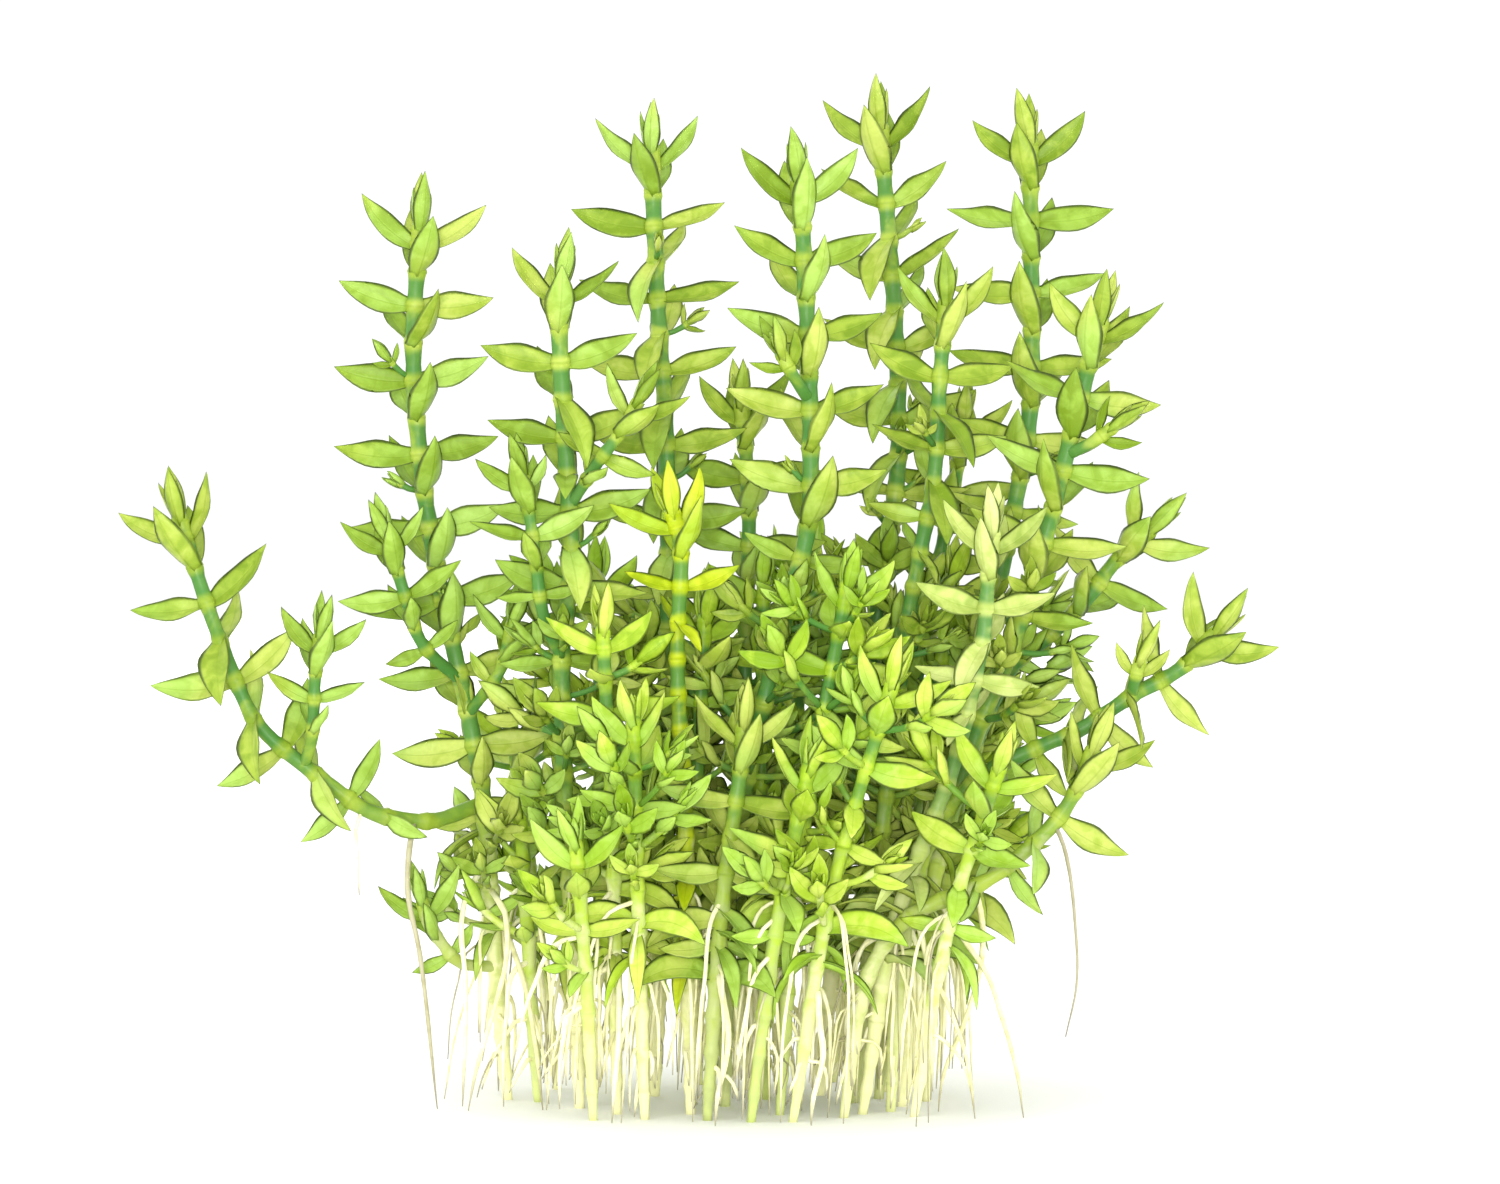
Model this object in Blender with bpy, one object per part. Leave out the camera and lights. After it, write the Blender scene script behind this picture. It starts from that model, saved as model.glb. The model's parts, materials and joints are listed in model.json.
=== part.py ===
"""A rooted clump of gratiola: stems with crossed pairs of leaves, side shoots at the forks, strong roots.

Sizes are in millimetres and angles in degrees until the meshes are made. +Z is up, the clump rests on
Z = 0, and its front is -Y. A stem, its leaves and its bud are one closed body. A side shoot starts a
hair's breadth off the stem that bears it. Where two stems would meet they grow apart, and a leaf that
would cut through another piece turns, tips or shortens until it is clear.
"""

import math
import random
from collections import namedtuple

import bmesh
import bpy
import numpy as np
from mathutils import Matrix, Vector
from mathutils.bvhtree import BVHTree

MM = 0.001

# Leaves
SIDE_WIDTH_SHARE = 0.42
FRONT_WIDTH_SHARE = 0.45
LEAF_KEEL = 0.55
LEAF_BASE_HEIGHT = 1.1
WIDEST_AT = 0.42
CROWN_LENGTHS = (0.78, 0.94, 0.97)
CROWN_RISES = (76, 50, 64)
BUSHY_CROWN_RISES = (70, 42, 28)
FOOT_LENGTHS = (0.62, 0.8)
SIDE_ROLL = 54
REAR_FROM = 15
BACK_RISE = 50
BUSHY_BACK_RISE = 12
UPTURN = 14
CROWN_BEND = (-10, 8)
FRONT_BEND = (0.92, 1.36)
BACK_BEND = (-12, 8)
JITTER_RISE = 7
CROWN_JITTER = 12
JITTER_TURN = 8
FRONT_TURNS = (20, 42)
TOP_TURN_SHARE = 0.5
BUSHY_TURN = 26
JITTER_ROLL = 14
JITTER_LENGTH = 0.07

# Stems
CROWN_GAPS = (0.2, 0.4, 0.72, 0.92)
TIP_TAPER = 0.93
FOOT_TAPER = 0.6
FOOT_REACH = 17.0
BUD_HEIGHT = 1.6
LOWEST_PAIR = 4.0
BARE_RING_GAP = 13.0
SAMPLE_STEP = 2.0
TANGENT_REACH = 1.5
HALF_DIAGONAL = 0.71
CLEARANCE = 0.3
STEM_CLEARANCE = 0.7
GROW_APART_ROUNDS = 60
SMOOTHINGS = 4
PUSH_WAYS = (0.45, 1.0, 0.0)
TOUCHING = 0.05
JOINT_REACH = 9.0
FORK_STEP = 0.2
FORK_TEST_LENGTH = 4.0
LONGEST_FORK = 6.0
RING_GAP = 8.0
FLOOR_REACH = 0.5

# Surfaces
SMOOTH_BELOW = 35
LEAF_ROUGHNESS = 0.5
ROOT_ROUGHNESS = 0.7

Kind = namedtuple("Kind", "stem leaf gap")
TALL = Kind(stem=2.7, leaf=11.8, gap=5.9)
MIDDLE = Kind(stem=2.4, leaf=11.0, gap=5.6)
BUSHY = Kind(stem=2.1, leaf=10.8, gap=6.4)
SIDE = Kind(stem=1.9, leaf=9.6, gap=4.7)
RUNNER = Kind(stem=2.4, leaf=11.8, gap=6.6)

# A shoot's route goes from its foot to the base of its crown. Its parent is the stem that it forks from.
# pairs counts its pairs of leaves from the crown down, upper and lower are how far the side leaves rise
# above square to the stem, front is the same for the leaves that face the viewer, and turn twists them
# all. The front leaves of the shoots in FRONT_LEFT lean to the viewer's left, and the others' to the right.
Shoot = namedtuple("Shoot", "name parent kind pairs upper lower front turn route")

SHOOTS = (
    Shoot("stem_far_left_tall", None, TALL, 18, 14, -4, 52, 4,
          ((-30.5, 2, 0), (-32.6, 2, 25), (-34.2, 1, 47.7), (-36.6, 0, 62), (-41, -1, 82.7),
           (-43.8, -2, 101), (-45, -3, 120), (-43.7, -4, 140))),
    Shoot("stem_left_tall", None, TALL, 13, 22, -6, -48, -6,
          ((-18.6, -8, 0), (-19.4, -8, 25), (-20.9, -9, 50), (-21.2, -10, 73), (-19.7, -11, 86),
           (-20.7, -12, 107), (-21.5, -13, 124), (-21, -13, 131))),
    Shoot("stem_mid_left_tall", None, TALL, 14, 14, 6, -52, 0,
          ((-7, 6, 0), (-6, 6, 30), (-5.4, 6, 60), (-4.8, 7, 80), (-5.2, 8, 108), (-6.5, 10, 127),
           (-7.6, 13, 153))),
    Shoot("stem_mid_right_tall", None, TALL, 13, 26, 4, 56, 5,
          ((4.4, -6, 0), (4.9, -6, 34), (7.5, -7, 50), (13.8, -9, 78), (17.5, -9, 92), (17.8, -9, 110),
           (16.9, -8, 134), (16, -8, 147))),
    Shoot("stem_tallest", None, TALL, 14, 30, 8, -50, -4,
          ((19.6, 7, 0), (22, 8, 24), (24.6, 10, 48), (27.8, 11, 70), (31.3, 13, 92.5), (32.4, 15, 105),
           (31.9, 17, 125), (29.5, 20, 157))),
    Shoot("stem_right_tall", None, TALL, 13, 12, 6, 58, 2,
          ((29, 3, 0), (32, 3, 30), (38, 4, 52), (46, 5, 74), (51.4, 6, 98), (53.4, 7, 112), (53.5, 8, 135),
           (53.2, 9, 154))),
    Shoot("stem_outer_right", None, TALL, 11, 16, 2, 50, -5,
          ((32.4, -6, 0), (36, -7, 30), (43, -8, 56), (50, -9, 74), (55, -10, 91), (59.9, -11, 111),
           (63.4, -12, 125))),
    Shoot("stem_inner_right", None, MIDDLE, 9, 18, 6, -40, 6,
          ((25, -2, 0), (29, -3, 40), (33.4, -4, 77), (37.4, -5, 99), (38.3, -5, 114), (39.4, -4, 128))),
    Shoot("stem_inner_right_low", None, MIDDLE, 7, 24, 8, 52, 0,
          ((26, 16, 0), (31, 17, 40), (37, 18, 75), (41.2, 17, 96), (43, 16, 109))),
    Shoot("stem_middle_thin", None, MIDDLE, 8, 16, 4, 50, -8,
          ((8, 14, 0), (7.4, 14, 40), (7.6, 13, 72), (8.2, 12, 94), (7, 11, 112))),
    Shoot("stem_front_yellow", None, MIDDLE, 5, 20, -8, -30, 6,
          ((-1, -15, 0), (-1.5, -15, 40), (-3, -15, 70), (-2.4, -15, 88), (-4, -15, 95))),
    Shoot("stem_front_pale", None, MIDDLE, 7, 12, -6, -48, 4,
          ((26, -15, 0), (31, -17, 30), (40, -19, 55), (44.2, -20, 73), (45, -20, 80), (46, -20, 92))),
    Shoot("branch_right_high", None, MIDDLE, 7, 12, 0, 40, 5,
          ((36.5, 0, 0), (38, -1, 25), (42, -2, 50), (49, -2, 68), (55.3, -2, 74), (61.5, -3, 80),
           (66, -3, 86), (72.3, -4, 92))),
    Shoot("branch_right_low", None, MIDDLE, 9, 10, 4, -20, 0,
          ((30.5, -12, 0), (32, -13, 25), (37, -14, 44), (44.6, -14, 53), (53.2, -14, 57.4),
           (60.4, -14, 60.5), (68.1, -14, 65.6), (75.8, -13, 69.8), (82, -13, 76))),
    Shoot("branch_right_lowest", None, MIDDLE, 7, 10, 0, -30, 0,
          ((23, -19, 0), (26, -20, 20), (32.4, -21, 31), (43.1, -21, 36.2), (47.9, -21, 39.2),
           (55.6, -20, 46), (59.6, -20, 52.3), (62, -19, 58))),
    Shoot("stem_front_short", None, MIDDLE, 9, 4, -12, -35, 4,
          ((1.7, -22, 0), (3, -23, 20), (4.4, -23, 37), (6.8, -23, 54), (7.5, -22, 62))),
    Shoot("runner_left", "stem_far_left_tall", RUNNER, 11, 20, 10, -44, 0,
          ((-34.2, 1, 47.7), (-41.4, -4, 45.3), (-46.3, -6, 45.6), (-51.6, -8, 46.9), (-57.4, -9, 50.9),
           (-67.9, -10, 59.5), (-71.9, -10, 66.1), (-76.9, -9, 79), (-81.8, -8, 94))),
    Shoot("side_shoot_runner", "runner_left", SIDE, 5, 26, 14, 45, 8,
          ((-62, -9.5, 54.6), (-60.4, -12, 59.5), (-59.8, -13, 68.8), (-59, -13, 75.5))),
    Shoot("side_shoot_left_inner", "stem_far_left_tall", SIDE, 6, 18, 0, 42, -6,
          ((-38, -0.5, 67.5), (-43.4, -6, 73.3), (-45.8, -8, 80.3), (-48.9, -9, 91))),
    Shoot("side_shoot_left_right", "stem_far_left_tall", SIDE, 4, 20, 6, 45, 0,
          ((-36.4, 0, 61.3), (-33.7, -4, 65.3), (-31.1, -5, 69.3), (-29.2, -5, 77))),
    Shoot("side_shoot_left_low", "stem_far_left_tall", SIDE, 4, 20, 0, 40, 0,
          ((-32.2, 2, 20.6), (-37.8, -3, 22.4), (-40.6, -5, 25.9), (-42.6, -6, 29), (-43.7, -6, 33))),
    Shoot("side_shoot_leaning", "stem_left_tall", SIDE, 5, 16, 10, 48, 0,
          ((-20.1, -11.5, 96), (-15.3, -15, 102.4), (-11.4, -16, 107.5), (-9, -16, 112))),
    Shoot("side_shoot_upright", "stem_left_tall", SIDE, 6, 18, 0, 46, 6,
          ((-21.2, -10, 71), (-24, -13, 78), (-25.4, -14, 88.8), (-27.2, -14, 101))),
    Shoot("side_shoot_mid_right", "stem_mid_right_tall", SIDE, 3, 20, 10, 40, 0,
          ((17.9, -9, 112.5), (15.3, -12, 115.8), (13, -13, 119.6))),
    Shoot("side_shoot_outer_right", "stem_outer_right", SIDE, 3, 16, 10, 44, 0,
          ((58.5, -10.8, 103.2), (62, -13, 105.2), (65.6, -14, 108))),
    Shoot("side_shoot_branch_low", "branch_right_low", SIDE, 3, 26, 20, 44, 0,
          ((68.1, -14, 65.6), (68.5, -16, 68.5), (69.5, -17, 72))),
    Shoot("bushy_stem_1", None, BUSHY, 6, 14, 0, -36, 12,
          ((-12.5, -15, 0), (-13, -17, 40), (-14.6, -19, 77))),
    Shoot("bushy_stem_2", None, BUSHY, 5, 12, 0, -20, -18, ((-8, -21, 0), (-9, -23, 35), (-9.6, -25, 63))),
    Shoot("bushy_stem_3", None, BUSHY, 5, 16, 4, 44, 20, ((-1, -3, 0), (-0.5, -3, 40), (1.2, -3, 78))),
    Shoot("bushy_stem_4", None, BUSHY, 5, 16, 4, 30, -14, ((11, 2, 0), (10, 3, 40), (10.6, 3, 84))),
    Shoot("bushy_stem_5", None, BUSHY, 6, 14, 0, -30, 16, ((13, -16, 0), (16, -18, 40), (23.6, -20, 84))),
    Shoot("bushy_stem_6", None, BUSHY, 6, 10, -4, -24, -10, ((15, -24, 0), (21, -26, 36), (30.5, -28, 69))),
    Shoot("bushy_stem_7", None, BUSHY, 6, 10, -6, -30, 24, ((8.5, -24, 0), (12, -27, 28), (17.5, -29, 56))),
    Shoot("bushy_stem_8", None, BUSHY, 6, 14, 2, 36, 10, ((30, 11, 0), (35, 11, 40), (41, 9, 84))),
    Shoot("bushy_stem_9", None, BUSHY, 5, 14, 0, 40, -16, ((-13, 13, 0), (-15.5, 16, 40), (-16.5, 19, 84))),
    Shoot("bushy_stem_10", None, BUSHY, 5, 12, 0, 36, 14, ((0, 20, 0), (0, 25, 40), (1.5, 30, 79))),
    Shoot("bushy_stem_11", None, BUSHY, 5, 12, 0, 40, -12, ((13, 20, 0), (15, 24, 40), (18, 28, 87))),
    Shoot("bushy_stem_12", None, BUSHY, 5, 12, -4, 34, 18, ((22, 23, 0), (28, 27, 38), (36, 31, 74))),
    Shoot("bushy_stem_13", None, BUSHY, 5, 8, -6, 30, -20, ((-25.5, -1, 0), (-27, -3, 24), (-28, -6, 47))),
    Shoot("bushy_stem_14", None, BUSHY, 5, 12, -4, 30, 14, ((-23, 14, 0), (-27, 18, 32), (-31, 22, 60))),
    Shoot("bushy_stem_15", None, BUSHY, 5, 8, -8, -26, -8,
          ((-16, -22, 0), (-17, -24, 22), (-18.5, -26, 44))),
    Shoot("bushy_stem_16", None, BUSHY, 5, 12, -2, 30, 10, ((33, 16, 0), (41, 20, 36), (51, 23, 66))),
    Shoot("bushy_stem_17", None, BUSHY, 6, 8, -6, -28, -12, ((34, -18, 0), (39, -24, 30), (47, -28, 56))),
    Shoot("side_shoot_back", "bushy_stem_11", SIDE, 4, 24, 4, 40, 0,
          ((15.5, 25, 47), (15, 31, 50), (14, 36, 55), (13.5, 39.5, 62))),
)

FRONT_LEFT = {"stem_mid_left_tall", "stem_tallest", "stem_right_tall", "stem_outer_right",
              "stem_inner_right_low", "runner_left", "branch_right_high", "side_shoot_upright",
              "stem_front_pale"}

# A root's route goes from the middle of the stem that it leaves down to its tip, and thin is its width
# there.
Root = namedtuple("Root", "name parent kind thin route turn", defaults=(0,))
THICK_ROOT = Kind(stem=1.2, leaf=0, gap=0)
LONG_ROOT = Kind(stem=1.05, leaf=0, gap=0)
FINE_ROOT = Kind(stem=0.7, leaf=0, gap=0)

ROOTS = (
    Root("root_runner_left", "runner_left", LONG_ROOT, 0.6,
         ((-44, -5, 45.4), (-44.8, -9, 42), (-45, -11, 34), (-43, -11, 20), (-41, -10, 0))),
    Root("root_runner_end", "runner_left", FINE_ROOT, 0.35,
         ((-53, -8.4, 47.5), (-53.4, -10, 44), (-53.5, -10.5, 40), (-53.2, -10.5, 34))),
    Root("root_left_1", "stem_far_left_tall", LONG_ROOT, 0.7,
         ((-33.6, 1, 39), (-36, -3, 35), (-37, -6, 28), (-36.6, -7, 16), (-37.2, -7, 0))),
    Root("root_left_2", "stem_far_left_tall", LONG_ROOT, 0.7,
         ((-33.2, 1, 34), (-30.6, -4, 32), (-29.6, -8, 28), (-30.8, -11, 20), (-34.6, -12, 7),
          (-36, -12, 0))),
    Root("root_left_3", "stem_far_left_tall", LONG_ROOT, 0.7,
         ((-32.7, 2, 29), (-29.5, -3, 26), (-27.4, -8, 21), (-25.4, -11, 10), (-24.3, -11, 0))),
    Root("root_right_1", "branch_right_lowest", LONG_ROOT, 0.7,
         ((43, -21, 36.2), (44.4, -17.5, 33), (45, -15, 27), (43, -14, 17), (38.8, -13, 6), (38, -13, 0))),
    Root("root_right_2", "branch_right_lowest", LONG_ROOT, 0.6,
         ((38, -21.2, 33.8), (42, -21.5, 28), (45.5, -21, 22), (49.6, -20, 9), (51, -20, 0))),
    Root("root_right_thin", "branch_right_lowest", FINE_ROOT, 0.35,
         ((56, -20, 46.5), (57.4, -22, 43), (58.6, -22.5, 33), (59.2, -22, 22), (57.4, -22, 13))),
    Root("root_right_4", "branch_right_lowest", LONG_ROOT, 0.6,
         ((33.6, -21, 31.4), (36, -22, 26), (38, -21.5, 20), (42, -21, 10), (43.4, -21, 0))),
    Root("root_front_1", "bushy_stem_1", THICK_ROOT, 0.8,
         ((-12.7, -16, 26), (-12, -20, 21), (-12, -24.5, 13), (-12.6, -26, 6), (-13, -26, 0))),
    Root("root_front_2", "stem_front_short", THICK_ROOT, 0.8,
         ((3.2, -23, 24), (4.4, -26, 19), (5, -28, 12), (3.4, -29, 5), (3, -29, 0))),
    Root("root_front_3", "bushy_stem_6", THICK_ROOT, 0.8,
         ((17.8, -25, 22), (19.4, -27, 16), (19.6, -28, 10), (18, -28.5, 4), (17.8, -28.5, 0))),
    Root("root_back_1", "bushy_stem_9", THICK_ROOT, 0.8,
         ((-14, 14.6, 24), (-16.6, 18, 19), (-17.6, 20, 12), (-18, 21, 5), (-18, 21, 0))),
    Root("root_back_2", "bushy_stem_11", THICK_ROOT, 0.8,
         ((14, 22, 26), (11, 23, 20), (8.6, 25, 12), (7.4, 26, 5), (7, 26, 0))),
    Root("root_back_3", "bushy_stem_12", THICK_ROOT, 0.8,
         ((25.6, 25.4, 24), (28, 23.6, 18), (30, 22.6, 11), (31, 23, 4), (31, 23, 0))),
    Root("root_back_4", "stem_far_left_tall", THICK_ROOT, 0.8,
         ((-32.8, 2, 33), (-32.6, 6, 28), (-32, 9.6, 18), (-32.4, 11, 6), (-32.4, 11, 0))),
)

# Tries for a leaf that would cut through something: a turn about the stem, a change of rise, a share of
# its length
LEAF_TRIES = (
    (0, 0, 1), (12, 0, 1), (-12, 0, 1), (0, 14, 1), (0, -14, 1), (20, 14, 1), (-20, 14, 1),
    (20, -14, 0.95), (-20, -14, 0.95), (0, 28, 0.9), (0, -28, 0.9), (32, 0, 0.9), (-32, 0, 0.9),
    (30, 28, 0.8), (-30, 28, 0.8), (30, -28, 0.8), (-30, -28, 0.8), (0, 44, 0.7), (0, -44, 0.7),
    (0, 0, 0.6), (26, 30, 0.55), (-26, 30, 0.55),
)

Leaf = namedtuple("Leaf", "face spine width foot normal across")
Pair = namedtuple("Pair", "distance leaves")


def catmull_rom(points, step):
    """A smooth curve through the points, as samples about this far apart."""
    route = [Vector(p) for p in points]
    route = [2 * route[0] - route[1]] + route + [2 * route[-1] - route[-2]]
    samples = []
    for before, start, end, after in zip(route, route[1:], route[2:], route[3:]):
        count = max(2, round((end - start).length / step))
        for i in range(count):
            t = i / count
            samples.append(0.5 * (2 * start + (end - before) * t
                                  + (2 * before - 5 * start + 4 * end - after) * t ** 2
                                  + (3 * start - before - 3 * end + after) * t ** 3))
    return samples + [route[-2]]


class Course:
    """A stem's middle line, read by the distance from its foot."""

    def __init__(self, points):
        self.points = points
        self.marks = [0.0]
        for a, b in zip(points, points[1:]):
            self.marks.append(self.marks[-1] + (b - a).length)
        self.length = self.marks[-1]

    def at(self, distance):
        distance = min(max(distance, 0.0), self.length)
        i = min(int(np.searchsorted(self.marks, distance, side="right")) - 1, len(self.points) - 2)
        share = (distance - self.marks[i]) / (self.marks[i + 1] - self.marks[i])
        return self.points[i].lerp(self.points[i + 1], share)

    def along(self, distance):
        return (self.at(distance + TANGENT_REACH) - self.at(distance - TANGENT_REACH)).normalized()


def grow_apart(pieces):
    """Every piece's samples, moved mostly front to back where two stems or roots would touch."""
    lines = {p.name: np.array(catmull_rom(p.route, SAMPLE_STEP)) for p in pieces}
    reach = {p.name: p.kind.stem * HALF_DIAGONAL for p in pieces}
    for _ in range(GROW_APART_ROUNDS):
        pushes = {name: np.zeros_like(line) for name, line in lines.items()}
        for i, one in enumerate(pieces):
            for other in pieces[i + 1:]:
                push_pair(lines, pushes, reach, one, other)
        for name, push in pushes.items():
            for _ in range(SMOOTHINGS):
                push[1:-1] = (push[:-2] + 2 * push[1:-1] + push[2:]) / 4
            lines[name] += push
        for piece in pieces:
            if piece.parent:
                follow_parent(lines, piece)
    return {name: [Vector(p) for p in line] for name, line in lines.items()}


def push_pair(lines, pushes, reach, one, other):
    a, b = lines[one.name], lines[other.name]
    need = reach[one.name] + reach[other.name] + STEM_CLEARANCE
    if (a.min(0) - need > b.max(0)).any() or (b.min(0) - need > a.max(0)).any():
        return
    gap = a[:, None, :] - b[None, :, :]
    far = np.linalg.norm(gap, axis=2)
    if one.name == other.parent:
        far[:, np.linalg.norm(b - b[0], axis=1) < JOINT_REACH] = need
    if other.name == one.parent:
        far[np.linalg.norm(a - a[0], axis=1) < JOINT_REACH, :] = need
    for i, j in zip(*np.nonzero(far < need)):
        way = gap[i, j] * PUSH_WAYS
        if np.linalg.norm(way) < TOUCHING:
            way = np.array((0.0, 1.0, 0.0))
        way *= 0.5 * (need - far[i, j]) / np.linalg.norm(way)
        pushes[one.name][i] += way
        pushes[other.name][j] -= way


def follow_parent(lines, piece):
    """Keeps the foot of a side shoot or a root on the stem that bears it."""
    line, parent = lines[piece.name], lines[piece.parent]
    nearest = parent[np.argmin(np.linalg.norm(parent - line[0], axis=1))]
    fade = np.clip(1 - np.linalg.norm(line - line[0], axis=1) / JOINT_REACH, 0, 1)
    line += fade[:, None] * (nearest - line[0])


def ring_axes(along, turn):
    """The directions across a stem and to its front, twisted by turn about the stem."""
    across = Vector((0, 1, 0)).cross(along).normalized()
    twist = Matrix.Rotation(math.radians(turn), 3, along)
    return twist @ across, twist @ across.cross(along)


def ring(centre, along, turn, width):
    """A square ring's four corners."""
    across, front = ring_axes(along, turn)
    half = width / 2
    return [centre + half * (x * across + y * front) for x, y in ((-1, 1), (1, 1), (1, -1), (-1, -1))]


def thickness(piece, course, distance):
    """A stem's or a root's thickness: less towards its tip, and less at the foot of a rooted stem."""
    thin = piece.thin if isinstance(piece, Root) else piece.kind.stem * TIP_TAPER
    width = piece.kind.stem + (thin - piece.kind.stem) * distance / course.length
    if piece.parent:
        return width
    return width * (FOOT_TAPER + (1 - FOOT_TAPER) * min(1.0, distance / FOOT_REACH))


def leaf_turn(shoot, face, k, draw):
    """How far a leaf's pair turns about the stem, so that a front leaf and the one behind it both show."""
    if shoot.kind == BUSHY:
        return draw.uniform(-BUSHY_TURN, BUSHY_TURN)
    if face in (1, 3):
        return 0.0
    side = -1 if shoot.name in FRONT_LEFT else 1
    return side * draw.uniform(*FRONT_TURNS) * (TOP_TURN_SHARE if k == 0 else 1)


def pair_distances(shoot, course):
    """Each pair's distance from the foot, from the crown down."""
    distance = course.length
    found = []
    for k in range(shoot.pairs):
        distance -= shoot.kind.gap * (CROWN_GAPS[k] if k < len(CROWN_GAPS) else 1)
        if distance < LOWEST_PAIR:
            break
        found.append(distance)
    return found


def leaf_rises(shoot, face, k, count):
    """How far the inner and outer halves of a leaf rise above square to the stem."""
    crown = BUSHY_CROWN_RISES if shoot.kind == BUSHY else CROWN_RISES
    if k < len(crown):
        return tuple(crown[k] + bend for bend in CROWN_BEND)
    if face == 0:
        return tuple(shoot.front * bend for bend in FRONT_BEND)
    if face == 2:
        rise = BUSHY_BACK_RISE if shoot.kind == BUSHY else BACK_RISE
        return tuple(rise + bend for bend in BACK_BEND)
    share = (k - len(CROWN_RISES)) / max(1, count - len(CROWN_RISES))
    rise = shoot.upper + (shoot.lower - shoot.upper) * share
    return rise - UPTURN / 2, rise + UPTURN / 2


def make_leaf(face, base, axes, along, rises, length, foot, turn, roll):
    """A leaf as the points of its spine: where it leaves the stem, where it is widest, and its tip.

    A side leaf's blade rolls about its spine, to show its upper side to the viewer or, at the back, to
    the rear.
    """
    across, front = axes
    out = Matrix.Rotation(math.radians(turn), 3, along) @ (front, across, -front, -across)[face]
    inner, outer = (math.radians(r) for r in rises)
    middle = base + length * WIDEST_AT * (math.cos(inner) * out + math.sin(inner) * along)
    tip = middle + length * (1 - WIDEST_AT) * (math.cos(outer) * out + math.sin(outer) * along)
    spine = (tip - base).normalized()
    normal = (along - along.dot(spine) * spine).normalized()
    if face in (1, 3):
        shown = (front - front.dot(spine) * spine).normalized()
        normal = (math.cos(math.radians(roll)) * normal + math.sin(math.radians(roll)) * shown).normalized()
    width = length * (SIDE_WIDTH_SHARE if face in (1, 3) else FRONT_WIDTH_SHARE)
    return Leaf(face, (base, middle, tip), width, foot, normal, normal.cross(spine))


def leaf_body(leaf, grown):
    """A closed body round a leaf, larger than it by this much, to test what it would cut through."""
    base, middle, tip = leaf.spine
    foot = (leaf.foot / 2 + grown) * leaf.across
    thick = (LEAF_BASE_HEIGHT / 2 + grown) * leaf.normal
    half = (leaf.width / 2 + grown) * leaf.across
    points = [base - foot + thick, base + foot + thick, base + foot - thick, base - foot - thick,
              middle - half, middle + grown * leaf.normal,
              middle + half, middle - (LEAF_KEEL + grown) * leaf.normal,
              tip + (tip - middle).normalized() * grown]
    faces = [(0, 4, 5), (0, 5, 1), (1, 5, 6), (1, 6, 2), (2, 6, 7), (2, 7, 3), (3, 7, 4), (3, 4, 0)]
    return points, faces + [(4 + i, 8, 4 + (i + 1) % 4) for i in range(4)]


class Crowd:
    """Everything grown so far, to ask whether a new body would cut into it."""

    def __init__(self):
        self.low, self.high = np.zeros((0, 3)), np.zeros((0, 3))
        self.trees, self.tags = [], []

    def add(self, points, faces, tag):
        corners = np.array(points)
        self.low = np.vstack((self.low, corners.min(0)))
        self.high = np.vstack((self.high, corners.max(0)))
        self.trees.append(BVHTree.FromPolygons(points, faces))
        self.tags.append(tag)

    def meets(self, points, faces, own, pair):
        corners = np.array(points)
        near = (self.low <= corners.max(0)).all(axis=1) & (self.high >= corners.min(0)).all(axis=1)
        tree = None
        for i in np.nonzero(near)[0]:
            name, number = self.tags[i]
            if name == own and (number is None or number == pair):
                continue
            tree = tree or BVHTree.FromPolygons(points, faces)
            if tree.overlap(self.trees[i]):
                return True
        return False


def tube_faces(rings):
    return [(r * 4 + i, r * 4 + (i + 1) % 4, r * 4 + 4 + (i + 1) % 4, r * 4 + 4 + i)
            for r in range(rings - 1) for i in range(4)]


def tube(piece, course, start):
    """The points and faces of a bare stem or root, closed at both ends."""
    count = max(2, round((course.length - start) / RING_GAP))
    points = []
    for i in range(count + 1):
        distance = start + (course.length - start) * i / count
        centre = course.at(distance)
        along = course.along(distance)
        if centre.z < FLOOR_REACH:
            centre.z = 0.0
            along = Vector((0, 0, math.copysign(1, along.z)))
        points += ring(centre, along, piece.turn, thickness(piece, course, distance))
    ends = [(3, 2, 1, 0), tuple(count * 4 + i for i in range(4))]
    return points, tube_faces(count + 1) + ends


def fork_start(piece, course, parent, parent_course, parent_start):
    """How far up its course a side shoot or a root has to start to stand clear of its parent."""
    tree = BVHTree.FromPolygons(*tube(parent, parent_course, parent_start))
    start = parent.kind.stem * 0.5 + CLEARANCE
    while start < LONGEST_FORK:
        points = []
        for distance in (start - CLEARANCE, min(start + FORK_TEST_LENGTH, course.length)):
            width = thickness(piece, course, distance) + CLEARANCE
            points += ring(course.at(distance), course.along(distance), piece.turn, width)
        faces = tube_faces(2) + [(3, 2, 1, 0)]
        if not BVHTree.FromPolygons(points, faces).overlap(tree):
            break
        start += FORK_STEP
    return start


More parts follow.
